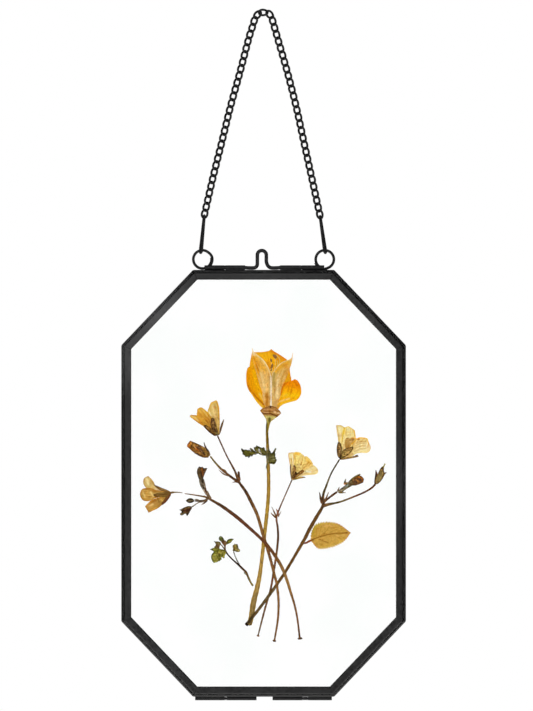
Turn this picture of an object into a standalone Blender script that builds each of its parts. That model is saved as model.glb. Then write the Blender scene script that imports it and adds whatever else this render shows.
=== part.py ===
# Pressed flower frame: an octagonal hanging frame of two glazed halves that open like
# a book along the bottom rail, with a spray of pressed flowers between the panes.
# X is to the right, +Y is away from the viewer and +Z is up. The origin is the point
# where the chain hangs on its nail.
import math

import bmesh
import bpy
from mathutils import Matrix, Vector

mm = 0.001

# The octagon, measured over its outer edges
frame_width = 150 * mm
frame_height = 225 * mm
end_rail_length = 74.4 * mm
side_rail_length = 145.6 * mm
frame_top = -136.5 * mm

# The channel that each half is folded from, open towards the glass
face_width = 5 * mm
channel_depth = 3 * mm
channel_wall = 0.5 * mm
shoulder_radius = 0.9 * mm
lip_radius = 0.2 * mm
halves_gap = 0.3 * mm
mitre_gap = 0.15 * mm

# Glass
glass_thickness = 1.8 * mm
glass_edge_gap = 0.4 * mm

# Hinge at the bottom: tubes soldered to the rails in turn, with a pin through each pair
hinge_tube_radius = 1.0 * mm
hinge_bore_radius = 0.75 * mm
hinge_pin_radius = 0.5 * mm
tube_stand_off = 0.05 * mm
bottom_tubes = {
    "front": [(-36.1, -20.4), (23.3, 36.0)],
    "back": [(-19.5, -3.9), (5.4, 20.6)],
}
bottom_pins = {"left": (-35.9, -4.1), "right": (5.6, 35.8)}

# Latch at the top: a spring wire through four tubes
latch_tube_radius = 1.2 * mm
latch_bore_radius = 1.0 * mm
latch_wire_radius = 0.83 * mm
top_tubes = {
    "front": [(-20.0, -9.8), (8.9, 19.7)],
    "back": [(-31.2, -20.6), (20.3, 32.0)],
}
latch_reach = 22.0 * mm
latch_centre_x = -0.9 * mm
latch_loop_half_width = 2.4 * mm
latch_loop_height = 10.2 * mm
latch_foot = [(8.3, 0), (5.2, 0.0), (4.2, 0.2), (3.3, 0.8), (2.7, 1.7), (2.4, 3.0)]
solder_depth = 0.75 * mm
bore_margin = 0.03 * mm

# Rings on the top edge of the back half
ring_wire_radius = 0.66 * mm
ring_radius = 4.8 * mm
ring_x = 32.3 * mm
ring_y = 2.1 * mm
ring_stand_off = 0.1 * mm
ring_steps = 24

# Long links between the rings and the chain
long_link_wire_radius = 0.45 * mm
long_link_half_gap = 1.75 * mm
long_link_feet = {"left": -33.2 * mm, "right": 32.6 * mm}
long_link_foot_lean = math.radians(22)
long_link_head_lean = math.radians(11)
long_link_steps = 16
hook_clearance = 0.15 * mm

# Twisted chain: links a side, and one link over the nail
links_each_side = 30
link_pitch = 3.7 * mm
link_length = 4.5 * mm
top_link_length = 6.0 * mm
top_link_twist = 0.85 * mm
top_link_place = Vector((0.1, 0, -0.6)) * mm
link_width = 3.0 * mm
link_twist = 0.75 * mm
link_wire_radius = 0.475 * mm
link_steps = 8
run_steps = 12
# The way each run hangs, outwards and down from the nail, in millimetres
chain_runs = {
    "left": [
        (0, 0), (2.9, 1.6), (4.7, 4.5), (5.8, 8.0), (7.9, 14.7), (12.6, 32.7), (17.5, 50.5),
        (22.0, 68.9), (26.7, 87.8), (31.8, 110.0),
    ],
    "right": [
        (0, 0), (3.0, 1.6), (4.5, 4.4), (5.5, 7.8), (7.5, 14.7), (12.8, 33.2), (17.4, 51.4),
        (21.6, 70.7), (25.7, 89.3), (30.4, 110.8),
    ],
}

# The pressed pieces lie between the panes in four layers, the first nearest the viewer
layer_pitch = 0.36 * mm
sheet_thickness = 0.28 * mm
petal_thickness = 0.22 * mm
stub_thickness = 0.16 * mm

# Their outlines and routes are read from a straight-on view, in its own grid: its scale,
# the column of the frame's centre line and the row of the hanging point. Enlarged
# details of it were read in finer steps: each gives its corner and its enlargement.
grid_step = 0.5274 * mm
grid_centre_column = 263.6
grid_hanging_row = 11.1
whole_view = (0, 0, 1)
big_flower_view = (235, 340, 17.42)
big_leaf_view = (230, 430, 14.25)
upper_left_view = (180, 395, 22.4)
far_left_view = (125, 390, 10.45)
sprig_view = (200, 525, 22.4)

across = Vector((1, 0, 0))
away = Vector((0, 1, 0))
up = Vector((0, 0, 1))


def start_scene():
    """An empty scene with one collection for the pieces and one for the helper solids."""
    for obj in list(bpy.data.objects):
        bpy.data.objects.remove(obj, do_unlink=True)
    made = []
    for name in ("pressed_flower_frame", "helpers"):
        collection = bpy.data.collections.new(name)
        bpy.context.scene.collection.children.link(collection)
        made.append(collection)
    return made


def paint(name, colour, roughness, metallic=0.0):
    material = bpy.data.materials.new(name)
    material.use_nodes = True
    shader = material.node_tree.nodes["Principled BSDF"]
    shader.inputs["Base Color"].default_value = (*colour, 1)
    shader.inputs["Roughness"].default_value = roughness
    shader.inputs["Metallic"].default_value = metallic
    return material


pieces, helpers = start_scene()
black_paint = paint("black_paint", (0.028, 0.028, 0.03), 0.42, 0.3)
clear_glass = paint("clear_glass", (0.93, 0.97, 0.96), 0.02)
clear_glass.node_tree.nodes["Principled BSDF"].inputs["Transmission Weight"].default_value = 1
orange_petal = paint("orange_petal", (0.86, 0.36, 0.02), 0.6)
pale_petal = paint("pale_petal", (0.80, 0.55, 0.22), 0.6)
yellow_petal = paint("yellow_petal", (0.80, 0.56, 0.20), 0.6)
brown_sepal = paint("brown_sepal", (0.28, 0.13, 0.05), 0.7)
olive_stem = paint("olive_stem", (0.40, 0.27, 0.05), 0.7)
brown_stem = paint("brown_stem", (0.22, 0.10, 0.05), 0.7)
green_leaf = paint("green_leaf", (0.09, 0.13, 0.04), 0.7)
mustard_leaf = paint("mustard_leaf", (0.47, 0.30, 0.04), 0.7)


def in_world(obj, matrix):
    """Puts the object's shape where the matrix says, and leaves the object at the origin."""
    obj.data.transform(matrix)
    obj.data.update()
    return obj


def axes(x_axis, y_axis, z_axis, origin=(0, 0, 0)):
    turned = Matrix((x_axis, y_axis, z_axis)).transposed().to_4x4()
    return Matrix.Translation(Vector(origin)) @ turned


def add(name, data, material, collection=pieces):
    obj = bpy.data.objects.new(name, data)
    obj.data.materials.append(material)
    collection.objects.link(obj)
    return obj


def hide(obj):
    obj.hide_render = True
    obj.display_type = "WIRE"
    return obj


def meshed(curve_object, collection=pieces):
    """The curve object made a mesh object of the same name, its caps welded to its sides."""
    bpy.context.view_layer.update()
    graph = bpy.context.evaluated_depsgraph_get()
    mesh = bpy.data.meshes.new_from_object(curve_object.evaluated_get(graph))
    shaped = bmesh.new()
    shaped.from_mesh(mesh)
    bmesh.ops.remove_doubles(shaped, verts=shaped.verts, dist=1e-7)
    bmesh.ops.recalc_face_normals(shaped, faces=shaped.faces)
    shaped.to_mesh(mesh)
    shaped.free()
    name, place = curve_object.name, curve_object.matrix_world.copy()
    material = curve_object.data.materials[0]
    bpy.data.objects.remove(curve_object, do_unlink=True)
    mesh.materials.clear()
    return in_world(add(name, mesh, material, collection), place)


def flat_curve(name, outlines, thickness, material, smooth=False, collection=pieces):
    """A flat plate in the XY plane, filled inside its first outline and open in the others."""
    data = bpy.data.curves.new(name, "CURVE")
    data.dimensions = "2D"
    data.fill_mode = "BOTH"
    data.extrude = thickness / 2
    data.resolution_u = 2 if smooth else 1
    for outline in outlines:
        spline = data.splines.new("BEZIER" if smooth else "POLY")
        points = spline.bezier_points if smooth else spline.points
        points.add(len(outline) - 1)
        for point, (x, y) in zip(points, outline):
            point.co = (x, y, 0) if smooth else (x, y, 0, 1)
            if smooth:
                point.handle_left_type = point.handle_right_type = "AUTO"
        spline.use_cyclic_u = True
    return add(name, data, material, collection)


def wire(name, routes, radius, material, sides_level=1, closed=False, collection=pieces):
    """Round wires of one radius along 3D routes, made a mesh."""
    data = bpy.data.curves.new(name, "CURVE")
    data.dimensions = "3D"
    data.bevel_depth = radius
    data.bevel_resolution = sides_level
    data.use_fill_caps = not closed
    for route in routes:
        spline = data.splines.new("POLY")
        spline.points.add(len(route) - 1)
        for point, place in zip(spline.points, route):
            point.co = (*place, 1)
        spline.use_cyclic_u = closed
    return meshed(add(name, data, material, collection), collection)


def union(base, extra):
    """Joins the extra solid to the base, which keeps its own name."""
    helpers.objects.link(extra)
    pieces.objects.unlink(extra)
    hide(extra)
    joined = base.modifiers.new("join_" + extra.name, "BOOLEAN")
    joined.operation = "UNION"
    joined.solver = "EXACT"
    joined.object = extra
    return base


def shade_round(obj):
    obj.data.shade_smooth()
    obj.data.set_sharp_from_angle(angle=math.radians(35))
    return obj


def octagon(inset=0.0):
    """The eight outer corners as (x, z), clockwise from the top rail's left end."""
    half_width, half_end = frame_width / 2, end_rail_length / 2
    middle = frame_top - frame_height / 2
    half_height, half_side = frame_height / 2, side_rail_length / 2
    corners = [
        Vector((x * sx, z * sz))
        for sx, sz, (x, z) in (
            (-1, 1, (half_end, half_height)), (1, 1, (half_end, half_height)),
            (1, 1, (half_width, half_side)), (1, -1, (half_width, half_side)),
            (1, -1, (half_end, half_height)), (-1, -1, (half_end, half_height)),
            (-1, -1, (half_width, half_side)), (-1, 1, (half_width, half_side)),
        )
    ]
    moved = []
    for before, corner, after in zip(corners[-1:] + corners[:-1], corners, corners[1:] + corners[:1]):
        first, second = (corner - before).normalized(), (after - corner).normalized()
        inward = [Vector((run.y, -run.x)) for run in (first, second)]
        mitre = (inward[0] + inward[1]).normalized()
        moved.append(corner + mitre * inset / mitre.dot(inward[0]) + Vector((0, middle)))
    return moved


def rounded(corners, radii, arc_steps):
    """The closed outline with each corner replaced by an arc of its own radius."""
    outline = []
    for i, (corner, radius, steps) in enumerate(zip(corners, radii, arc_steps)):
        corner = Vector(corner)
        before = (Vector(corners[i - 1]) - corner).normalized()
        after = (Vector(corners[(i + 1) % len(corners)]) - corner).normalized()
        if not radius:
            outline.append(corner)
            continue
        centre = corner + (before + after) * radius
        for step in range(steps + 1):
            angle = step / steps * math.pi / 2
            outline.append(centre - after * radius * math.cos(angle) - before * radius * math.sin(angle))
    return outline


def channel_section(near, far):
    """The folded channel as (distance in from the outer edge, y), its shown face at near."""
    side = 1 if far > near else -1
    wall = channel_wall * side
    corners = [
        (0, near), (face_width, near), (face_width, near + wall), (channel_wall, near + wall),
        (channel_wall, far - wall), (face_width, far - wall), (face_width, far), (0, far),
    ]
    radii = [shoulder_radius, lip_radius, lip_radius, 0, 0, lip_radius, lip_radius, 2 * lip_radius]
    return rounded(corners, radii, [3, 1, 1, 0, 0, 1, 1, 1])


def cut_square(obj, point, normal):
    """Cuts off what lies beyond the plane, and closes the cut."""
    shaped = bmesh.new()
    shaped.from_mesh(obj.data)
    everything = shaped.verts[:] + shaped.edges[:] + shaped.faces[:]
    bmesh.ops.bisect_plane(shaped, geom=everything, plane_co=point, plane_no=normal, clear_outer=True)
    rim = [edge for edge in shaped.edges if edge.is_boundary]
    bmesh.ops.holes_fill(shaped, edges=rim, sides=0)
    bmesh.ops.recalc_face_normals(shaped, faces=shaped.faces)
    shaped.to_mesh(obj.data)
    shaped.free()
    return obj


def rail(name, half, corners, index):
    """One side of the octagon, mitred at both ends."""
    near, far = (halves_gap / 2 + channel_depth, halves_gap / 2)
    if half == "front":
        near, far = -near, -far
    around = [Vector((c.x, 0, c.y)) for c in corners]
    before, start, end, after = (around[(index + k) % 8] for k in (-1, 0, 1, 2))
    run = (end - start).normalized()
    inward = Vector((run.z, 0, -run.x))
    length = (end - start).length + 4 * face_width
    bar = meshed(flat_curve(name, [channel_section(near, far)], length, black_paint))
    in_world(bar, axes(inward, away, inward.cross(away), (start + end) / 2))
    first_mitre = ((start - before).normalized() + run).normalized()
    last_mitre = (run + (after - end).normalized()).normalized()
    cut_square(bar, start + first_mitre * mitre_gap / 2, -first_mitre)
    cut_square(bar, end - last_mitre * mitre_gap / 2, last_mitre)
    return shade_round(bar)


def tube(name, ends, radius, bore, height, sides=10):
    """A tube along X with its axis at the given height, in the middle of the frame's depth."""
    rings = [
        [
            (r * math.cos(2 * math.pi * i / sides), r * math.sin(2 * math.pi * i / sides))
            for i in range(sides)
        ]
        for r in (radius, bore)
    ]
    made = meshed(flat_curve(name, rings, ends[1] - ends[0], black_paint))
    in_world(made, axes(away, up, across, ((ends[0] + ends[1]) / 2, 0, height)))
    return shade_round(made)


def box(name, low, high, material=black_paint):
    shaped = bmesh.new()
    bmesh.ops.create_cube(shaped, size=1)
    size = [b - a for a, b in zip(low, high)]
    middle = [(a + b) / 2 for a, b in zip(low, high)]
    bmesh.ops.scale(shaped, vec=size, verts=shaped.verts)
    bmesh.ops.translate(shaped, vec=middle, verts=shaped.verts)
    mesh = bpy.data.meshes.new(name)
    shaped.to_mesh(mesh)
    shaped.free()
    return add(name, mesh, material)


def solder_tubes(bar, half, ends_list, radius, bore, edge, outward):
    """Hinge tubes on a rail's outer edge, each held along its back by a bead of solder."""
    height = edge + outward * (radius + tube_stand_off)
    toward = -1 if half == "front" else 1
    bead_top = height - outward * math.sqrt((bore + bore_margin) ** 2 - halves_gap ** 2)
    for number, ends in enumerate(ends_list, 1):
        left, right = (end * mm for end in ends)
        made = tube(f"{bar.name}_tube_{number}", (left, right), radius, bore, height)
        near, far = sorted((toward * halves_gap, toward * (halves_gap + solder_depth)))
        low, high = sorted((edge - outward * channel_wall / 2, bead_top))
        bead = box(
            f"{bar.name}_solder_{number}",
            (left + lip_radius, near, low),
            (right - lip_radius, far, high),
        )
        union(bar, made)
        union(bar, bead)


def frame_halves():
    corners = octagon()
    rail_names = [
        "top", "upper_right", "right", "lower_right", "bottom", "lower_left", "left", "upper_left",
    ]
    bottom = frame_top - frame_height
    for half in ("front", "back"):
        bars = {
            name: rail(f"{half}_rail_{name}", half, corners, index)
            for index, name in enumerate(rail_names)
        }
        solder_tubes(
            bars["top"], half, top_tubes[half], latch_tube_radius, latch_bore_radius, frame_top, 1
        )
        solder_tubes(
            bars["bottom"], half, bottom_tubes[half], hinge_tube_radius, hinge_bore_radius, bottom, -1
        )
        pane_y = halves_gap / 2 + channel_depth / 2
        pane = flat_curve(
            f"{half}_glass",
            [octagon(channel_wall + glass_edge_gap)],
            glass_thickness,
            clear_glass,
        )
        in_world(meshed(pane), axes(across, up, -away, (0, -pane_y if half == "front" else pane_y, 0)))
    pin_height = bottom - hinge_tube_radius - tube_stand_off
    for side, ends in bottom_pins.items():
        route = [(end * mm, 0, pin_height) for end in ends]
        shade_round(wire(f"hinge_pin_{side}", [route], hinge_pin_radius, black_paint, 2))


def latch():
    """One spring wire: two arms in the tubes, and an upright loop to squeeze between them."""
    axis = frame_top + latch_tube_radius + tube_stand_off
    loop_top = frame_top + latch_loop_height
    loop = [
        (
            latch_centre_x + latch_loop_half_width * math.cos(angle),
            0,
            loop_top - latch_loop_half_width + latch_loop_half_width * math.sin(angle),
        )
        for angle in (math.pi * step / 6 for step in range(7))
    ]
    right_side = [(latch_reach, 0, axis)] + [
        (latch_centre_x + out * mm, 0, axis + rise * mm) for out, rise in latch_foot
    ]
    left_side = [(2 * latch_centre_x - x, y, z) for x, y, z in reversed(right_side)]
    route = right_side + loop + left_side
    shade_round(wire("latch_wire", [route], latch_wire_radius, black_paint, 1))


def rings():
    centre_z = frame_top + ring_radius + ring_wire_radius + ring_stand_off
    for side, x in (("left", -ring_x), ("right", ring_x)):
        route = [
            (x + ring_radius * math.sin(turn), ring_y, centre_z + ring_radius * math.cos(turn))
            for turn in (2 * math.pi * i / ring_steps for i in range(ring_steps))
        ]
        shade_round(wire(f"hanging_ring_{side}", [route], ring_wire_radius, black_paint, 1, True))
    return centre_z + ring_radius


def chain_places(side):
    """Centre and direction of each link of one run, from the link over the nail down."""
    outward = -mm if side == "left" else mm
    knots = [Vector((x * outward, 0, -z * mm)) for x, z in chain_runs[side]]
    line = []
    for i in range(len(knots) - 1):
        p0, p1, p2, p3 = (knots[min(max(i + k, 0), len(knots) - 1)] for k in (-1, 0, 1, 2))
        for t in (step / run_steps for step in range(run_steps)):
            line.append(
                0.5 * (2 * p1 + (p2 - p0) * t + (2 * p0 - 5 * p1 + 4 * p2 - p3) * t * t
                       + (3 * p1 - p0 - 3 * p2 + p3) * t ** 3)
            )
    line.append(knots[-1])
    places, travelled, wanted = [], 0.0, link_pitch
    for a, b in zip(line, line[1:]):
        step = (b - a).length
        while wanted <= travelled + step and len(places) < links_each_side:
            places.append((a.lerp(b, (wanted - travelled) / step), (b - a).normalized()))
            wanted += link_pitch
        travelled += step
    return places


def link_route(centre, along, length=link_length, twist=link_twist, steps=link_steps):
    """A link's centre line: an oval whose sides are twisted out of its plane."""
    sideways = along.cross(away)
    route = []
    for i in range(steps):
        turn = 2 * math.pi * i / steps
        route.append(
            centre
            + sideways * link_width / 2 * math.cos(turn)
            + along * length / 2 * math.sin(turn)
            + away * twist * math.sin(2 * turn)
        )
    return route


def chain():
    last_links = {}
    for side in chain_runs:
        places = chain_places(side)
        last_links[side] = places[-1]
        links = [link_route(*place) for place in places]
        base = wire(f"chain_{side}", links[::2], link_wire_radius, black_paint, 0, True)
        others = wire(f"chain_{side}_between", links[1::2], link_wire_radius, black_paint, 0, True)
        union(base, others)
    top_link = link_route(top_link_place, across, top_link_length, top_link_twist)
    wire("chain_top_link", [top_link], link_wire_radius, black_paint, 0, True)
    return last_links


def long_links(last_links, ring_top):
    """Each hangs from the last chain link and carries the frame by its ring."""
    for side, mirror in (("left", -1), ("right", 1)):
        centre, direction = last_links[side]
        head = centre + direction * (link_length / 2 - 2 * link_wire_radius - hook_clearance)
        drop = ring_wire_radius + long_link_wire_radius + hook_clearance
        foot = Vector((long_link_feet[side], ring_y, ring_top - drop))
        along = (head - foot).normalized()
        straight = (head - foot).length - 2 * long_link_half_gap
        route = []
        for i in range(long_link_steps):
            turn = 2 * math.pi * (i + 0.5) / long_link_steps
            at_head = math.sin(turn) > 0
            sideways = long_link_half_gap * math.cos(turn)
            height = long_link_half_gap * (1 + math.sin(turn)) + (straight if at_head else 0)
            lean = long_link_head_lean if at_head else long_link_foot_lean
            route.append(
                foot + along * height
                + (away * math.cos(lean) + across * mirror * math.sin(lean)) * sideways
            )
        shade_round(wire(f"long_link_{side}", [route], long_link_wire_radius, black_paint, 1, True))


def layer(number):
    """The depth of a layer between the panes."""
    return (number - 2.5) * layer_pitch


def on_frame(view, points):
    """(x, z) of points that were read in an enlarged view."""
    left, top, enlargement = view
    return [
        (
            (left + column / enlargement - grid_centre_column) * grid_step,
            -(top + row / enlargement - grid_hanging_row) * grid_step,
        )
        for column, row in points
    ]


def pressed(name, view, points, level, material, thickness=petal_thickness, smooth=True):
    """A flat pressed piece with the given outline, in one layer."""
    sheet = flat_curve(name, [on_frame(view, points)], thickness, material, smooth)
    return in_world(meshed(sheet), axes(across, up, -away, (0, layer(level), 0)))


def stalk(name, view, points, widths, level, material, thickness=sheet_thickness):
    """A flat pressed stalk along a route, its width in millimetres given from start to end."""
    route = [Vector(p) for p in on_frame(view, points)]
    left, right = [], []
    for i, point in enumerate(route):
        run = (route[min(i + 1, len(route) - 1)] - route[max(i - 1, 0)]).normalized()
        normal = Vector((-run.y, run.x))
        place = i / (len(route) - 1) * (len(widths) - 1)
        k = min(int(place), len(widths) - 2)
        half = mm * (widths[k] + (widths[k + 1] - widths[k]) * (place - k)) / 2
        left.append(point + normal * half)
        right.append(point - normal * half)
    strip = flat_curve(name, [left + right[::-1]], thickness, material)
    return in_world(meshed(strip), axes(across, up, -away, (0, layer(level), 0)))


def branch(parent, name, view, points, widths, level, material, thickness=petal_thickness):
    """A side stalk grown together with its parent, a little thinner than it."""
    return union(parent, stalk(f"{parent.name}_{name}", view, points, widths, level, material, thickness))


def big_flower():
    view = big_flower_view
    pressed("big_flower_back_petal", view, [
        (300, 215), (365, 212), (530, 210), (590, 190), (635, 160), (700, 215), (800, 280),
        (885, 340), (955, 480), (950, 560), (975, 690), (860, 760), (640, 800), (420, 640), (330, 480),
        (255, 465), (285, 320),
    ], 4, orange_petal)
    pressed("big_flower_left_wing", view, [
        (260, 465), (215, 490), (192, 620), (195, 760), (230, 850), (300, 980), (380, 1110),
        (480, 1195), (540, 1160), (520, 1000), (430, 700), (350, 500),
    ], 3, orange_petal)
    pressed("big_flower_right_wing", view, [
        (975, 700), (1020, 680), (1080, 690), (1120, 750), (1150, 850), (1145, 930), (1100, 1025),
        (1000, 1070), (880, 1105), (780, 1150), (745, 1195), (690, 1170), (740, 1000), (800, 860),
        (860, 740),
    ], 3, orange_petal)
    pressed("big_flower_left_petal", view, [
        (297, 145), (320, 205), (440, 270), (520, 350), (590, 460), (620, 560), (626, 640),
        (622, 900), (620, 1100), (608, 1150), (520, 1165), (480, 920), (470, 800), (400, 650),
        (340, 480), (303, 260),
    ], 2, pale_petal)
    pressed("big_flower_right_petal", view, [
        (1005, 235), (975, 290), (880, 342), (800, 390), (740, 460), (680, 530), (644, 600),
        (642, 900), (644, 1100), (656, 1150), (700, 1160), (740, 1080), (790, 1000), (800, 880), (850, 740),
        (935, 560), (960, 490), (1000, 340),
    ], 2, pale_petal)
    pressed("big_flower_calyx", view, [
        (435, 1240), (520, 1178), (620, 1150), (700, 1178), (805, 1270), (740, 1330), (690, 1365),
        (640, 1400), (610, 1440), (560, 1440), (545, 1370), (500, 1310),
    ], 1, brown_sepal, sheet_thickness)
    stalk("big_flower_stem", whole_view, [
        (267.6, 418), (267, 430), (267.5, 444), (268.2, 463.7), (268.6, 479), (268.5, 493),
        (267.5, 507), (266.1, 521), (264.2, 537), (262.7, 552), (259.9, 574), (257.1, 588),
        (253.9, 602), (251.6, 615.6), (249.3, 625.4),
    ], [2.0, 1.5, 1.6, 1.6, 1.6, 1.6, 1.7, 1.8, 3.1, 2.9, 1.9], 4, olive_stem)
    pressed("big_flower_leaf", big_leaf_view, [
        (520, 290), (480, 250), (380, 220), (345, 250), (340, 290), (290, 265), (300, 300), (245, 280),
        (160, 262), (178, 310), (200, 350), (280, 385), (340, 360), (400, 345), (480, 365), (530, 365),
        (530, 480), (512, 565), (550, 500), (560, 440), (620, 485), (655, 465), (670, 420), (655, 370),
        (640, 320), (655, 262), (600, 320), (560, 300),
    ], 3, green_leaf, smooth=False)


def upper_left_flower():
    view = upper_left_view
    pressed("upper_left_flower_petals", view, [
        (225, 490), (260, 442), (330, 455), (385, 452), (388, 300), (470, 265), (560, 320), (600, 358),
        (640, 270), (690, 155), (800, 115), (845, 150), (880, 300), (885, 500), (882, 700), (878, 850),
        (800, 900), (700, 850), (540, 730), (400, 620), (300, 540),
    ], 2, yellow_petal)
    pressed("upper_left_flower_sepals", view, [
        (545, 670), (640, 740), (720, 640), (705, 510), (745, 505), (800, 640), (835, 760), (930, 650),
        (985, 540), (975, 620), (900, 850), (850, 915), (800, 905), (680, 830),
    ], 1, brown_sepal, smooth=False)
    pressed("upper_left_bud", view, [
        (225, 1020), (155, 1120), (165, 1155), (340, 1290), (480, 1385), (560, 1405), (640, 1390),
        (680, 1330), (620, 1210), (560, 1160), (400, 1090),
    ], 2, yellow_petal)
    stem = stalk("upper_left_stem", whole_view, [
        (217.9, 436.4), (226.4, 455.1), (235, 471.3), (238.5, 481), (245.6, 491.4), (251.3, 502.9),
        (256.6, 514.4), (260.9, 526.8), (263.8, 537.4), (266.8, 546.3), (270.5, 559.2), (274.2, 574),
        (277, 583.3), (278.9, 597.1), (278.9, 609.2), (277.5, 622.1), (274.2, 641.1),
    ], [0.6, 0.6, 0.9, 1.4, 1.4, 1.4, 1.4, 1.4, 1.3, 1.0], 2, brown_stem)
    branch(stem, "bud_stalk", whole_view, [
        (211.2, 457.6), (220.7, 468.5), (230, 476), (238.9, 481.5),
    ], [0.7, 0.9, 0.9, 0.8], 2, brown_stem)


def far_left_spray():
    view = far_left_view
    pressed("far_left_flower_petals", view, [
        (240, 900), (190, 950), (200, 1000), (222, 1040), (165, 1060), (155, 1095), (175, 1140), (240, 1170),
        (210, 1215), (245, 1285), (300, 1270), (390, 1200), (440, 1150), (478, 1100), (478, 1062),
        (420, 1030), (330, 1000), (290, 940),
    ], 1, yellow_petal, smooth=False)
    sepals = pressed("far_left_flower_sepals", view, [
        (330, 1030), (400, 1050), (480, 1070), (480, 1092), (420, 1140), (350, 1200), (385, 1120),
        (300, 1097),
        (385, 1085),
    ], 2, brown_sepal, smooth=False)
    branch(sepals, "stub", whole_view, [
        (170.3, 493.4), (175.7, 492.3), (182.2, 493.1),
    ], [0.9, 0.6, 0.4], 2, brown_sepal, stub_thickness)
    pressed("far_left_upper_bud", view, [
        (775, 800), (755, 850), (760, 910), (785, 940), (820, 940), (840, 890), (860, 820), (820, 805),
        (800, 822),
    ], 1, brown_sepal)
    pressed("far_left_small_bud", whole_view, [
        (186, 500.5), (188, 498), (191.5, 497.8), (194.4, 500), (192, 502.5), (188.5, 502.8),
    ], 1, brown_sepal)
    pressed("far_left_lower_bud", view, [
        (570, 1250), (640, 1215), (680, 1215), (688, 1250), (640, 1315), (620, 1290), (590, 1305),
        (580, 1290), (600, 1265),
    ], 1, brown_sepal)
    stem = stalk("far_left_stem", whole_view, [
        (184.6, 493.5), (193.9, 494.8), (204.4, 496.7), (209.5, 499), (220.7, 505.3), (230.3, 512),
        (239.9, 519.5), (249.3, 527.8), (258.5, 536.1), (265.9, 543.5), (272.4, 551.8), (277.9, 560.1),
        (282.6, 568.5), (287.2, 579.6), (291.8, 592.5), (295.5, 604.5), (298.3, 618.4), (299.9, 638.8),
    ], [0.5, 0.6, 0.9, 1.4, 1.4, 1.4, 1.4, 1.4, 1.4, 1.3, 1.2], 1, brown_stem)
    branch(stem, "upper_stalk", view, [
        (802, 948), (792, 1000), (830, 1060), (875, 1122),
    ], [0.6, 0.7, 0.9, 0.9], 1, brown_stem)
    branch(stem, "small_stalk", whole_view, [
        (195, 500.4), (203.5, 500), (210.3, 499.6),
    ], [0.5, 0.7, 0.8], 1, brown_stem)
    branch(stem, "lower_stalk", view, [
        (692, 1222), (760, 1182), (830, 1148), (882, 1128),
    ], [0.5, 0.6, 0.8, 0.9], 1, brown_stem)


def middle_flower():
    pressed("middle_flower_petals", whole_view, [
        (288.2, 453.6), (294.9, 452.3), (300.7, 453.1), (304, 456), (307.3, 456), (311.5, 459.8),
        (313.9, 464.8), (317.3, 468.1), (318.5, 471.8), (316.4, 474.3), (304.8, 475.9), (294, 478.6),
        (290.7, 473), (289.9, 464.8),
    ], 3, yellow_petal)
    pressed("middle_flower_sepals", whole_view, [
        (290.3, 466), (292.6, 472), (299, 468.5), (296, 474.2), (306, 474.5), (296.5, 479.3), (292.6, 479.4),
    ], 2, brown_sepal, smooth=False)
    stem = stalk("middle_stem", whole_view, [
        (292.6, 479.9), (286.1, 494.6), (279.8, 509.3), (276.5, 517.6), (277.9, 527.8), (278.4, 537),
        (277.5, 548.1), (275.6, 561.1), (273.3, 574), (270.5, 588.8), (266.8, 601.8), (263.1, 616.6),
        (258, 636),
    ], [0.6, 0.6, 0.8, 1.1, 1.1, 1.1, 1.0, 0.9, 0.7], 4, brown_stem)
    branch(stem, "bract", whole_view, [
        (270.6, 504.5), (272.5, 511), (277.2, 518.5),
    ], [0.2, 0.8, 0.8], 4, brown_stem)


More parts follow.
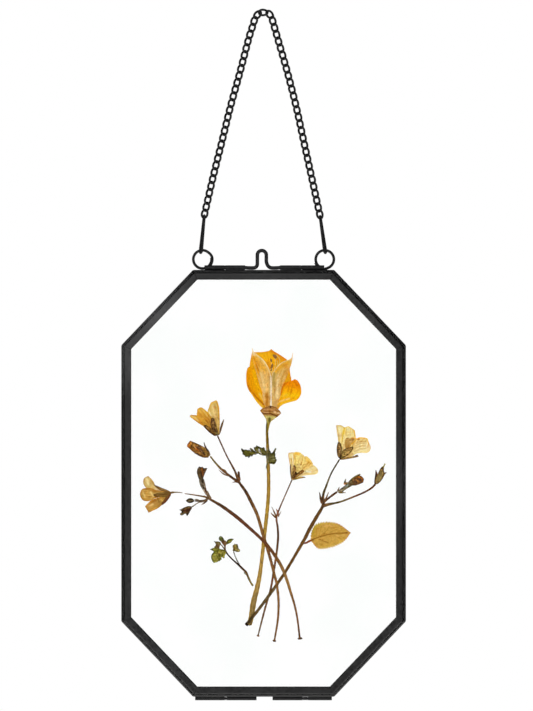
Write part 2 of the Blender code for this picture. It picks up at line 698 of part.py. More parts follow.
def right_spray():
    pressed("right_flower_petals", whole_view, [
        (336.3, 425.4), (342.1, 425.4), (345, 427.9), (348.4, 426.2), (352.9, 428.3), (355.8, 437),
        (362.9, 437), (367.4, 438.6), (370.7, 448.2), (369.5, 451.5), (365.4, 452.7), (357.1, 455.6),
        (341, 458.1), (338, 454.8), (336.7, 449.8), (338, 441.5),
    ], 3, yellow_petal)
    pressed("right_flower_sepals", whole_view, [
        (338, 441), (340.3, 449), (343.5, 442), (344.5, 451), (356, 454.5), (346, 457.6), (340.6, 459),
        (337.5, 452),
    ], 2, brown_sepal, smooth=False)
    pressed("right_bud", whole_view, [
        (360.2, 473.8), (355.6, 475.6), (352, 479.2), (348, 483.3), (348, 486.4), (353.6, 485.1),
        (358.2, 484.3), (362.8, 482), (363.8, 479.2), (362.2, 477.1),
    ], 3, brown_sepal)
    pressed("far_right_bud", whole_view, [
        (385.4, 463.4), (383.7, 466.9), (381.1, 467.2), (378.4, 472), (375.8, 470), (374, 481.2),
        (376, 483.4), (379.1, 482.8), (382.1, 479.2), (383.7, 473.6),
    ], 3, brown_sepal)
    stem = stalk("right_stem", whole_view, [
        (339.6, 459.9), (331.4, 473), (326.4, 485.5), (323.1, 495.4), (323.1, 505), (316.8, 517.6),
        (310.3, 528.7), (304.8, 538.9), (297.4, 550.9), (291.8, 560.1), (285.3, 571.2), (278.9, 581.4),
        (272.4, 590.7), (265, 600.8), (256.7, 611.9), (246.5, 624.4),
    ], [0.6, 0.7, 0.9, 1.5, 1.5, 1.6, 1.6, 1.6, 1.7, 1.7], 3, brown_stem)
    branch(stem, "far_right_stalk", whole_view, [
        (375.7, 484.4), (370.9, 488.4), (363.5, 492.6), (353, 497), (340.5, 501.7), (329.7, 504.1),
        (322.8, 505.8),
    ], [0.6, 0.7, 0.9, 1.0, 1.1], 3, brown_stem)
    branch(stem, "bud_stalk", whole_view, [
        (347.2, 484.9), (338.3, 490.9), (330.5, 496), (323, 502.6),
    ], [0.7, 0.8, 0.8, 0.9], 3, brown_stem)
    leaf = pressed("mustard_leaf", whole_view, [
        (310.9, 541.5), (310.8, 533), (312.6, 528), (315.3, 524.5), (320.7, 522.2), (332.9, 522.1),
        (341.3, 525.3), (350.7, 532.8), (346.3, 539.5), (336.4, 545.6), (326.8, 549), (317.6, 548.7),
    ], 4, mustard_leaf)
    branch(leaf, "petiole", whole_view, [
        (304.4, 543.2), (308.2, 541.5), (312.5, 539.4),
    ], [0.9, 0.6, 0.6], 4, mustard_leaf, stub_thickness)


def green_sprig():
    view = sprig_view
    stem = stalk("sprig_stem", view, [
        (1190, 1370), (1100, 1210), (1010, 1040), (900, 930), (780, 820), (650, 690), (575, 600),
        (550, 430), (520, 330),
    ], [0.8, 0.8, 0.7, 0.6, 0.5], 3, green_leaf)
    branch(stem, "calyx_stalk", view, [
        (748, 605), (800, 740), (905, 935),
    ], [0.4, 0.5, 0.6], 3, green_leaf)
    pressed("sprig_big_leaf", view, [
        (250, 690), (265, 760), (300, 850), (400, 830), (460, 770), (480, 700), (530, 740), (555, 690),
        (560, 612), (480, 560), (400, 540), (320, 580), (260, 640),
    ], 2, green_leaf)
    pressed("sprig_upper_leaves", view, [
        (460, 250), (430, 290), (430, 340), (440, 385), (315, 360), (345, 405), (400, 430), (500, 430),
        (570, 425), (600, 400), (690, 390), (750, 320), (610, 330), (540, 350), (510, 290),
    ], 2, green_leaf)
    pressed("sprig_calyx", view, [
        (770, 410), (735, 450), (745, 540), (752, 590), (790, 580), (840, 600), (895, 570), (860, 530),
        (840, 440), (800, 440),
    ], 2, green_leaf)


frame_halves()
latch()
ring_top = rings()
long_links(chain(), ring_top)
big_flower()
upper_left_flower()
far_left_spray()
middle_flower()
right_spray()
green_sprig()
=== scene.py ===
# Pressed flower frame: black folded metal, two panes of glass and a spray of dried flowers
import math

import bmesh
import bpy
import numpy as np
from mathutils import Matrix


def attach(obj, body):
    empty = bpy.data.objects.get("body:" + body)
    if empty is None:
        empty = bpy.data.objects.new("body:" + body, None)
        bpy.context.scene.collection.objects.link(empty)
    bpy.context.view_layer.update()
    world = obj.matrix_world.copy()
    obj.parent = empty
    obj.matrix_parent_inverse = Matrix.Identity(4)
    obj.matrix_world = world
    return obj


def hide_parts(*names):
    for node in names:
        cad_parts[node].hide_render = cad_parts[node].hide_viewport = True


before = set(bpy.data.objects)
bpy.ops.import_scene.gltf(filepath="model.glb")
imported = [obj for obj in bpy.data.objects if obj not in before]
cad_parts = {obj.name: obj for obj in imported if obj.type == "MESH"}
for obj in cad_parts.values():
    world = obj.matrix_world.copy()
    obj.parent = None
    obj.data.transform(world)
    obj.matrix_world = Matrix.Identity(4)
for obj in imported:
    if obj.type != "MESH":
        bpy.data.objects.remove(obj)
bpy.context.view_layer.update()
mm = 0.001
print("stage: frame loaded")

# Where an enlarged detail of the straight-on view lies: its corner and its enlargement
wholeView = (0, 0, 1)
bigFlowerView = (235, 340, 17.42)
bigLeafView = (230, 430, 14.25)
upperLeftView = (180, 395, 22.4)
farLeftView = (125, 390, 10.45)
sprigView = (200, 525, 22.4)
grid = {"step": 0.5274 * mm, "centreColumn": 263.6, "hangingRow": 11.1}


def onFrame(view, points):
    # x and z on the frame of points read in a view
    left, top, enlargement = view
    points = np.asarray(points, float).reshape(-1, 2)
    x = (left + points[:, 0] / enlargement - grid["centreColumn"]) * grid["step"]
    z = -(top + points[:, 1] / enlargement - grid["hangingRow"]) * grid["step"]
    return np.stack([x, z], 1)


def ink(red, green, blue):
    # A screen colour in 0 to 255 as the linear colour that shaders use
    screen = np.array([red, green, blue]) / 255
    return np.where(screen < 0.04045, screen / 12.92, ((screen + 0.055) / 1.055) ** 2.4)


# Shaders
class Value:
    # A socket that works in sums: each operator adds its Math node
    def __init__(self, tree, socket=None):
        self.tree, self.socket = tree, socket

    def node(self, kind, settings=None, inputs=None, output=0):
        made = self.tree.nodes.new(kind)
        for name, value in (settings or {}).items():
            if name == "stops":
                for i, (place, colour) in enumerate(value):
                    stop = made.color_ramp.elements[i] if i < 2 else made.color_ramp.elements.new(place)
                    stop.position, stop.color = place, (*colour, 1)
            else:
                setattr(made, name, value)
        for name, value in (inputs or {}).items():
            socket = made.inputs[name]
            if isinstance(value, Value):
                self.tree.links.new(value.socket, socket)
            elif socket.type == "RGBA" and len(value) == 3:
                socket.default_value = (*value, 1)
            else:
                socket.default_value = value
        return Value(self.tree, made.outputs[output])

    def calc(self, operation, *values):
        return self.node("ShaderNodeMath", {"operation": operation}, dict(enumerate(values)))

    def __add__(self, other): return self.calc("ADD", self, other)
    def __radd__(self, other): return self.calc("ADD", other, self)
    def __sub__(self, other): return self.calc("SUBTRACT", self, other)
    def __rsub__(self, other): return self.calc("SUBTRACT", other, self)
    def __mul__(self, other): return self.calc("MULTIPLY", self, other)
    def __rmul__(self, other): return self.calc("MULTIPLY", other, self)
    def __truediv__(self, other): return self.calc("DIVIDE", self, other)
    def __neg__(self): return self.calc("MULTIPLY", self, -1.0)

    def smooth(self, low, high, least=0.0, most=1.0):
        # least below low, most above high, and an even S between
        return self.node("ShaderNodeMapRange", {"interpolation_type": "SMOOTHSTEP"}, {
            "Value": self, "From Min": low, "From Max": high, "To Min": least, "To Max": most})

    def blend(self, first, second, mode="MIX"):
        # The second colour over the first, by this share
        return self.node("ShaderNodeMix", {"data_type": "RGBA", "blend_type": mode},
                         {0: self, 6: first, 7: second}, 2)


def material(name, settings):
    # A Principled material with these constants, its tree and its shader
    made = bpy.data.materials.new(name)
    made.use_nodes = True
    shader = made.node_tree.nodes["Principled BSDF"]
    for socket, value in settings.items():
        shader.inputs[socket].default_value = (*value, 1) if np.ndim(value) else value
    return made, Value(made.node_tree), shader


def feed(shader, sockets):
    for name, value in sockets.items():
        value.tree.links.new(value.socket, shader.inputs[name])


def place(tree, output="Object"):
    return tree.node("ShaderNodeTexCoord", {}, {}, output)


def noise(tree, coordinates, scale, detail=3.0, roughness=0.5):
    return tree.node("ShaderNodeTexNoise", {}, {
        "Vector": coordinates, "Scale": scale, "Detail": detail, "Roughness": roughness})


def stretched(tree, coordinates, scale):
    # The coordinates, each multiplied by its own number
    return tree.node("ShaderNodeVectorMath", {"operation": "MULTIPLY"}, {0: coordinates, 1: scale})


lacquerLook = {
    "dark": ink(8, 8, 9), "light": ink(24, 24, 25), "roughness": (0.3, 0.54),
    # The last colour on the next line and the list after it are painted highlights: paler patches, each (centre, reach,
    # share), where a lamp's reflection would fall on the rails
    "patchScale": 800.0, "grainScale": 2200.0, "grainDepth": 0.00004, "paintedHighlight": ink(62, 62, 63),
    "paintedHighlights": [((-0.048, 0, -0.168), 0.034, 0.9), ((-0.073, 0, -0.186), 0.022, 0.4), ((0.05, 0, -0.165), 0.02, 0.25),
               ((0.0, 0, -0.139), 0.03, 0.1), ((0.07, 0, -0.25), 0.03, 0.2), ((-0.05, 0, -0.34), 0.02, 0.1)],
}


def blackLacquer(name, sheen):
    # Satin black: soft patches in the film, a fine grain, and painted highlights on some of the rails: paler patches
    # where a lamp's reflection would fall
    look = lacquerLook
    made, tree, shader = material(name, {"Specular IOR Level": sheen, "Metallic": 0.0})
    at = place(tree)
    patches = noise(tree, at, look["patchScale"], 4.0, 0.6)
    grain = noise(tree, at, look["grainScale"], 2.0)
    raised = tree.node("ShaderNodeBump", {}, {"Strength": 0.35, "Distance": look["grainDepth"], "Height": grain})
    film = patches.smooth(0.3, 0.7).blend(look["dark"], look["light"])
    # Each painted highlight lays the paler colour over the film round its centre, fading out by its reach
    for centre, reach, share in look["paintedHighlights"]:
        away = tree.node("ShaderNodeVectorMath", {"operation": "DISTANCE"}, {0: at, 1: centre}, "Value")
        film = (away.smooth(0.0, reach, share, 0.0) * patches.smooth(0.25, 0.75, 0.6, 1.0)).blend(film, look["paintedHighlight"])
    feed(shader, {
        "Base Color": film,
        "Roughness": patches.smooth(0.3, 0.7, *look["roughness"]) + grain.smooth(0.3, 0.7, -0.03, 0.03),
        "Normal": raised,
    })
    return made


def clearGlass():
    # Clear float glass: plain refraction, with the faintest green film
    made, tree, shader = material("clearGlass", {"Roughness": 0.0, "IOR": 1.5, "Transmission Weight": 1.0})
    film = noise(tree, place(tree), 30.0, 2.0)
    feed(shader, {"Base Color": film.smooth(0.3, 0.7).blend(np.array([1.0, 1.0, 1.0]), np.array([0.985, 0.995, 0.99]))})
    return made


lacquer, wireLacquer = blackLacquer("railLacquer", 0.5), blackLacquer("wireLacquer", 0.24)
glass = clearGlass()
print("stage: finishes made")


# Shapes: each is a pair (points, faces), worked out as whole arrays
def skin(rows, ring=True, loop=False, caps=False):
    # rows[i, j] is point j of section i, and quads join neighbours. ring closes each section,
    # loop joins the last section to the first, and caps fills the two end sections
    n, m = rows.shape[:2]
    i = np.arange(n if loop else n - 1)[:, None]
    j = np.arange(m if ring else m - 1)[None, :]
    after, beside = (i + 1) % n, (j + 1) % m
    quads = np.stack([i * m + j, i * m + beside, after * m + beside, after * m + j], -1)
    faces = quads.reshape(-1, 4).tolist()
    if caps:
        faces += [list(range(m))[::-1], list(range((n - 1) * m, n * m))]
    return rows.reshape(-1, 3), faces


def unit(vectors):
    return vectors / np.maximum(np.linalg.norm(vectors, axis=-1, keepdims=True), 1e-12)


def smoothRoute(points, count, loop=False):
    # A curve through the points, each stretch a cubic that leans along its neighbours, read at
    # count places an equal way apart
    p = np.asarray(points, float)
    if loop:
        p = np.concatenate([p[-1:], p, p[:2]])
    else:
        p = np.concatenate([2 * p[:1] - p[1:2], p, 2 * p[-1:] - p[-2:-1]])
    t = np.linspace(0, len(p) - 3 - 1e-9, 24 * len(p))
    k = t.astype(int)
    f = (t - k)[:, None]
    a, b, c, d = p[k], p[k + 1], p[k + 2], p[k + 3]
    curve = 0.5 * (2 * b + (c - a) * f + (2 * a - 5 * b + 4 * c - d) * f ** 2 + (3 * b - a - 3 * c + d) * f ** 3)
    length = np.concatenate([[0], np.cumsum(np.linalg.norm(np.diff(curve, axis=0), axis=1))])
    wanted = np.linspace(0, length[-1], count + 1)[:-1] if loop else np.linspace(0, length[-1], count)
    return np.stack([np.interp(wanted, length, curve[:, axis]) for axis in range(p.shape[1])], 1)


def wire(route, radius, sides=12, loop=False, across=(0, 1, 0)):
    # A round wire: each section is a circle square to the route
    route = np.asarray(route, float)
    run = np.roll(route, -1, 0) - np.roll(route, 1, 0) if loop else np.gradient(route, axis=0)
    run = unit(run)
    side = unit(np.cross(np.asarray(across, float), run))
    top = np.cross(run, side)
    turn = np.linspace(0, 2 * np.pi, sides, endpoint=False)[None, :, None]
    radius = np.broadcast_to(radius, len(route))[:, None, None]
    rows = route[:, None] + radius * (np.cos(turn) * side[:, None] + np.sin(turn) * top[:, None])
    return skin(rows, loop=loop, caps=not loop)


def turned(profile, centre, steps=24):
    # A closed profile of (x, radius) turned about an axis along X through the centre
    profile = np.asarray(profile, float)
    turn = np.linspace(0, 2 * np.pi, steps, endpoint=False)[:, None]
    x = np.broadcast_to(profile[:, 0], (steps, len(profile)))
    rows = np.stack([x, profile[:, 1] * np.cos(turn), profile[:, 1] * np.sin(turn)], -1)
    return skin(rows + np.asarray(centre, float), loop=True)


def roundCorners(corners, radii, steps):
    # A closed outline whose corner k is an arc: (radius along the way in, radius along the way out)
    corners = np.asarray(corners, float)
    parts = []
    for k, corner in enumerate(corners):
        back, on = unit(corners[k - 1] - corner), unit(corners[(k + 1) % len(corners)] - corner)
        first, last = np.broadcast_to(radii[k], 2)
        angle = np.linspace(0, np.pi / 2, steps if max(first, last) > 0 else 1)[:, None]
        parts.append(corner + back * first * (1 - np.sin(angle)) + on * last * (1 - np.cos(angle)))
    return np.concatenate(parts)


def joined(shapes):
    points, faces, start = [], [], 0
    for shapePoints, shapeFaces in shapes:
        points.append(shapePoints)
        faces += [[start + corner for corner in face] for face in shapeFaces]
        start += len(shapePoints)
    return np.concatenate(points), faces


def piece(name, shapes, finish, body, nodes=(), angle=40):
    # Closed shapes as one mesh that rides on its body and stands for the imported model's nodes
    points, faces = joined(shapes)
    mesh = bpy.data.meshes.new(name)
    mesh.from_pydata(points.tolist(), [], faces)
    shaped = bmesh.new()
    shaped.from_mesh(mesh)
    bmesh.ops.recalc_face_normals(shaped, faces=shaped.faces)
    shaped.to_mesh(mesh)
    shaped.free()
    mesh.shade_smooth()
    mesh.set_sharp_from_angle(angle=math.radians(angle))
    mesh.materials.append(finish)
    obj = bpy.data.objects.new(name, mesh)
    bpy.context.scene.collection.objects.link(obj)
    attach(obj, body)
    if nodes:
        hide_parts(*nodes)
    return obj


# The folded channel, mitred into eight rails on each half
rails = {
    "width": 150 * mm, "height": 225 * mm, "endRail": 74.4 * mm, "sideRail": 145.6 * mm,
    "top": -136.5 * mm, "face": 5.15 * mm, "depth": 3 * mm, "wall": 0.5 * mm, "halvesGap": 0.3 * mm,
    "bevel": (1.4 * mm, 1.95 * mm), "ledge": (0.86 * mm, 1.32 * mm, 0.76 * mm), "lip": 0.3 * mm, "crown": 0.3 * mm, "arcSteps": 7,
    "mitreGap": 0.01 * mm, "grooveWidth": 0.26 * mm, "grooveDepth": 0.22 * mm,
}
tubes = {
    "radius": {"top": 1.2 * mm, "bottom": 0.97 * mm}, "bore": {"top": 1.0 * mm, "bottom": 0.75 * mm},
    "standOff": 0.05 * mm, "pinRadius": 0.5 * mm, "chamfer": 0.12 * mm, "collarRadius": 0.86 * mm,
    "front": {"top": [(-20.3, -9.8), (8.7, 19.9)], "bottom": [(-36.1, -20.4), (23.3, 36.0)]},
    "back": {"top": [(-31.2, -20.45), (20.05, 32.0)], "bottom": [(-19.5, -3.7), (4.7, 20.6)]},
    "pins": {"left": (-35.9, -3.9), "right": (4.9, 35.8)},
    "collars": {"left": (-20.3, -19.6), "right": (20.7, 23.2)},
}


def railCorners():
    # The octagon's corners clockwise from the top rail's left end, and how far each moves for a
    # step inwards
    halfWidth, halfEnd = rails["width"] / 2, rails["endRail"] / 2
    halfHeight, halfSide = rails["height"] / 2, rails["sideRail"] / 2
    x = np.array([-halfEnd, halfEnd, halfWidth, halfWidth, halfEnd, -halfEnd, -halfWidth, -halfWidth])
    z = np.array([halfHeight, halfHeight, halfSide, -halfSide, -halfHeight, -halfHeight, -halfSide, halfSide])
    corners = np.stack([x, z + rails["top"] - halfHeight], 1)
    run = unit(np.roll(corners, -1, 0) - corners)
    inward = np.stack([run[:, 1], -run[:, 0]], 1)
    mitre = unit(np.roll(inward, 1, 0) + inward)
    return corners, run, mitre / np.sum(mitre * inward, 1, keepdims=True)


def railSection(half):
    # The folded channel as (way in from the outer edge, y): a stepped bevel along its outer edge, then a face
    # that falls away outwards by crown * (1 - way / face) ^ 1.5
    far, near = rails["halvesGap"] / 2, rails["halvesGap"] / 2 + rails["depth"]
    wall, face, lip = rails["wall"], rails["face"], rails["lip"]
    deep, wide = rails["bevel"]
    ledgeStart, ledgeEnd, ledgeDrop = rails["ledge"]
    outline = [((0, near - deep), 0.3 * mm), ((ledgeStart, near - ledgeDrop), 0.08 * mm),
               ((ledgeEnd, near - ledgeDrop), 0.08 * mm), ((wide, near), 0.25 * mm), ((face * 0.5, near), 0), ((face * 0.65, near), 0),
               ((face * 0.8, near), 0), ((face, near), (lip, lip * 0.8)), ((face, near - wall), (lip * 0.5, lip * 0.6)),
               ((wall + wide, near - wall), 0), ((wall, near - wall - deep), 0), ((wall, far + wall), 0),
               ((face, far + wall), 0.15 * mm), ((face, far), 0.15 * mm), ((0, far), 0.4 * mm)]
    corners, radii = zip(*outline)
    section = roundCorners(corners, radii, rails["arcSteps"])
    section[:, 1] -= rails["crown"] * (1 - section[:, 0] / face) ** 1.5 * (section[:, 1] - far) / (near - far)
    return section * (1, -1 if half == "front" else 1)


def tubeShapes(half, end):
    # Tubes along the outer edge, each with a run of solder along its back
    outward = 1 if end == "top" else -1
    edge = rails["top"] if end == "top" else rails["top"] - rails["height"]
    radius, bore, cut = tubes["radius"][end], tubes["bore"][end], tubes["chamfer"]
    height = edge + outward * (radius + tubes["standOff"])
    toward = -1 if half == "front" else 1
    shapes = []
    for left, right in tubes[half][end]:
        left, right = left * mm, right * mm
        profile = [(left, bore), (left, radius - cut), (left + cut, radius),
                   (right - cut, radius), (right, radius - cut), (right, bore)]
        shapes.append(turned(profile, (0, 0, height)))
        x = np.linspace(left + 0.05 * mm, right - 0.05 * mm, 40)
        swell = np.sqrt(np.clip(1 - np.abs(np.linspace(-1, 1, 40)) ** 6, 0.05, 1))
        wave = 1 + 0.12 * np.sin(x / mm * 2.1 + left / mm)
        line = np.stack([x, np.full(40, toward * 0.84 * mm), np.full(40, edge + outward * 0.06 * mm)], 1)
        shapes.append(wire(line, 0.42 * mm * swell * wave, 10))
    return shapes


def makeRails():
    names = ["top", "upper_right", "right", "lower_right", "bottom", "lower_left", "left", "upper_left"]
    corners, run, inset = railCorners()
    for half in ("front", "back"):
        section = railSection(half)
        middle = np.array([rails["face"], section[:, 1].mean()])
        notched = middle + (section - middle) * (1 - rails["grooveDepth"] / np.array([rails["face"], rails["depth"] / 2]))
        for k, name in enumerate(names):
            ends = []
            for corner, sign, shape, away in ((k, 1, notched, 0), (k, 1, section, 1),
                                              ((k + 1) % 8, -1, section, 1), ((k + 1) % 8, -1, notched, 0)):
                step = rails["mitreGap"] / 2 + away * rails["grooveWidth"]
                at = corners[corner] + shape[:, :1] * inset[corner] + sign * run[k] * step
                ends.append(np.stack([at[:, 0], shape[:, 1], at[:, 1]], 1))
            shapes = [skin(np.stack(ends), caps=True)]
            if name in ("top", "bottom"):
                piece(f"{half}Tubes{name.capitalize()}", tubeShapes(half, name), wireLacquer, f"{half}_half")
            words = "".join(word.capitalize() for word in name.split("_"))
            piece(f"{half}Rail{words}", shapes, lacquer, f"{half}_half", [f"{half}_rail_{name}"], 30)
    height = rails["top"] - rails["height"] - tubes["radius"]["bottom"] - tubes["standOff"]
    for side, (left, right) in tubes["pins"].items():
        x = np.array([left, left + 0.2, right - 0.2, right]) * mm
        line = np.stack([x, np.zeros(4), np.full(4, height)], 1)
        radius = tubes["pinRadius"] * np.array([0.7, 1, 1, 0.7])
        start, end = np.array(tubes["collars"][side]) * mm
        width, inner = tubes["collarRadius"], tubes["pinRadius"] * 0.9
        collar = turned([(start, inner), (start, width), (end, width), (end, inner)], (0, 0, height))
        piece(f"hingePin{side.capitalize()}", [wire(line, radius), collar], wireLacquer, "front_half",
              [f"hinge_pin_{side}"])


makeRails()
print("stage: rails and tubes")

# The spring wire that locks the halves together
latch = {
    "wire": 0.96 * mm, "reach": 22.0 * mm, "centre": -0.93 * mm, "loopHalfWidth": 2.36 * mm, "loopHeight": 10.2 * mm,
    "leftFoot": [(9.6, 0), (9.0, 0), (8.1, -0.12), (6.6, -0.2), (5.2, -0.2), (3.9, -0.12), (2.95, 0.4), (2.5, 1.2), (2.38, 2.0)],
    "rightFoot": [(10.3, 0), (9.7, 0), (8.7, -0.12), (7.0, -0.2), (5.5, -0.18), (4.2, 0.08), (3.3, 0.85), (2.75, 1.85), (2.43, 2.9), (2.36, 4.0)],
}


def makeLatch():
    axis = rails["top"] + tubes["radius"]["top"] + tubes["standOff"]
    top = rails["top"] + latch["loopHeight"] - latch["loopHalfWidth"]
    turn = np.linspace(0, np.pi, 9)
    loop = np.stack([latch["centre"] + latch["loopHalfWidth"] * np.cos(turn),
                     top + latch["loopHalfWidth"] * np.sin(turn)], 1)
    right, left = (np.array([(sign * foot[0], foot[1]) for foot in latch[key]]) * mm + (latch["centre"], axis)
                   for key, sign in (("rightFoot", 1), ("leftFoot", -1)))
    ends = np.array([(latch["reach"], axis), (14 * mm, axis)])
    flat = smoothRoute(np.concatenate([ends, right, loop, left[::-1], ends[::-1] * (-1, 1)]), 240)
    route = np.stack([flat[:, 0], np.zeros(len(flat)), flat[:, 1]], 1)
    piece("latchWire", [wire(route, latch["wire"], 14)], wireLacquer, "latch", ["latch_wire"])


makeLatch()

# Rings, long links and the chain
rings = {
    "wire": 0.72 * mm, "radius": 4.8 * mm, "x": 32.3 * mm, "y": 2.1 * mm, "standOff": 0.1 * mm,
    "overlap": {"left": (80, 160), "right": (200, 250)}, "spread": 0.42 * mm,
}
longLinks = {
    "wire": 0.6 * mm, "halfGap": 1.565 * mm, "feet": {"left": -33.2 * mm, "right": 32.6 * mm},
    "footLean": 22, "headLean": 10, "clearance": 0.15 * mm,
}
chain = {
    "eachSide": 30, "pitch": 3.75 * mm, "length": 4.5 * mm, "width": 2.9 * mm, "twist": 0.75 * mm,
    "wire": 0.6 * mm, "topLength": 4.6 * mm, "topTwist": 0.85 * mm, "topPlace": (-0.2 * mm, 0, -0.74 * mm),
    "left": [(0, 0), (2.9, 1.6), (4.7, 4.5), (5.8, 8.0), (7.9, 14.7), (12.6, 32.7), (17.5, 50.5),
             (22.0, 68.9), (26.7, 87.8), (31.8, 110.0)],
    "right": [(0, 0), (3.0, 1.6), (4.5, 4.4), (5.5, 7.8), (7.5, 14.7), (12.8, 33.2), (17.4, 51.4),
              (21.6, 70.7), (25.7, 89.3), (30.4, 110.8)],
}


def chainPlaces(side):
    # Centre and direction of each link, a pitch apart along the hanging run
    knots = np.array(chain[side]) * mm * (-1 if side == "left" else 1, -1)
    line = smoothRoute(knots, 4000)
    length = np.concatenate([[0], np.cumsum(np.linalg.norm(np.diff(line, axis=0), axis=1))])
    wanted = chain["pitch"] * np.arange(1, chain["eachSide"] + 1)
    run = unit(np.gradient(line, axis=0))
    spots = [np.stack([np.interp(wanted, length, part[:, axis]) for axis in (0, 1)], 1) for part in (line, run)]
    return [np.insert(spot, 1, 0, axis=1) for spot in spots]


def linkShape(centre, along, length, twist):
    # A twisted oval: its two sides are swung out of its plane, one forwards and one back
    along = unit(np.asarray(along, float))
    sideways = np.cross(along, (0, 1, 0))
    turn = np.linspace(0, 2 * np.pi, 28, endpoint=False)[:, None]
    route = (np.asarray(centre) + sideways * chain["width"] / 2 * np.cos(turn)
             + along * length / 2 * np.sin(turn) + np.array([0, twist, 0]) * np.sin(2 * turn))
    return wire(route, chain["wire"], 10, loop=True)


def makeChain():
    ends = {}
    for side in ("left", "right"):
        centres, runs = chainPlaces(side)
        ends[side] = (centres[-1], unit(runs[-1]))
        links = [linkShape(centre, run, chain["length"], chain["twist"]) for centre, run in zip(centres, runs)]
        piece(f"chainRun{side.capitalize()}", links, wireLacquer, "hanger", [f"chain_{side}"])
    top = linkShape(chain["topPlace"], (1, 0, 0), chain["topLength"], chain["topTwist"])
    piece("chainTopLink", [top], wireLacquer, "hanger", ["chain_top_link"])
    return ends


def makeRings():
    # Split rings: the wire runs once round from the first angle and on past its own start to the
    # second, a little wider and further back there. Angles are clockwise from the top
    centre = rails["top"] + rings["radius"] + rings["wire"] + rings["standOff"]
    for side, sign in (("left", -1), ("right", 1)):
        start, end = np.radians(rings["overlap"][side])
        turn = np.linspace(start, end + 2 * np.pi, 84)
        past = np.clip((turn - start - 5.6) / 0.6, 0, 1) - np.clip(1 - (turn - start) / 0.7, 0, 1)
        radius = rings["radius"] + rings["spread"] * np.maximum(past, 0)
        route = np.stack([sign * rings["x"] + radius * np.sin(turn), rings["y"] + 0.5 * rings["wire"] * past,
                          centre + radius * np.cos(turn)], 1)
        piece(f"hangingRing{side.capitalize()}", [wire(route, rings["wire"], 12)], wireLacquer,
              "back_half", [f"hanging_ring_{side}"])
    return centre + rings["radius"]


def makeLongLinks(ends, ringTop):
    # A long narrow loop from the last chain link down to the ring's wire, leaning a little
    gap = longLinks["halfGap"]
    for side, sign in (("left", -1), ("right", 1)):
        centre, direction = ends[side]
        head = centre + direction * (chain["length"] / 2 - 2 * chain["wire"] - longLinks["clearance"])
        drop = rings["wire"] + longLinks["wire"] + longLinks["clearance"]
        foot = np.array([longLinks["feet"][side], rings["y"], ringTop - drop])
        along = unit(head - foot)
        straight = np.linalg.norm(head - foot) - 2 * gap
        turn = np.linspace(0, 2 * np.pi, 40, endpoint=False) + np.pi / 40
        upper = np.sin(turn) > 0
        lean = np.radians(np.where(upper, longLinks["headLean"], longLinks["footLean"]))[:, None]
        height = (gap * (1 + np.sin(turn)) + straight * upper)[:, None]
        swing = np.array([0, 1, 0]) * np.cos(lean) + np.array([sign, 0, 0]) * np.sin(lean)
        route = foot + along * height + swing * gap * np.cos(turn)[:, None]
        piece(f"longLink{side.capitalize()}", [wire(route, longLinks["wire"], 12, True, (1, 0, 0))], wireLacquer,
              "hanger", [f"long_link_{side}"])


makeLongLinks(makeChain(), makeRings())
print("stage: chain and rings")

for name in ("front_glass", "back_glass"):
    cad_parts[name].data.materials.clear()
    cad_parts[name].data.materials.append(glass)


# The dried plants: each colour in this part is a screen colour, laid on point by point
layerPitch = 0.36 * mm
# The edge share darkens a stalk's sides and the core share lifts its middle: painted shade and a painted highlight
# across its round
plantGrain = {"spacing": 0.14 * mm, "petalThickness": 0.12 * mm, "stalkThickness": 0.24 * mm,
              "stalkWidth": 1.2, "edgeShade": 0.76, "paintedCoreHighlight": 1.03, "rimTint": (1.1, 1.07, 0.25)}


def layer(number):
    return (number - 2.5) * layerPitch


def washed(places, view, tone, strokes):
    # Colours at places: each stroke (line, half width, colour, share) covers what is there with a
    # share that falls from its line as a bell, exp(-(distance / half width) squared). The narrowest
    # are softened to some 0.4 of a grid step
    colours = np.broadcast_to(np.asarray(tone, float), (len(places), 3)).copy()
    for line, width, strokeTone, share in strokes:
        points = onFrame(view, line)
        start = points[:-1] if len(points) > 1 else points
        run = np.diff(points, axis=0) if len(points) > 1 else np.zeros((1, 2))
        reach = places[:, None] - start
        along = np.clip(np.sum(reach * run, -1) / np.maximum(np.sum(run * run, -1), 1e-15), 0, 1)
        gap = np.linalg.norm(reach - along[..., None] * run, axis=-1).min(1)
        cover = share * np.exp(-(gap / (np.hypot(width / view[2], 0.4) * grid["step"])) ** 2)[:, None]
        colours += cover * (np.asarray(strokeTone, float) - colours)
    return colours


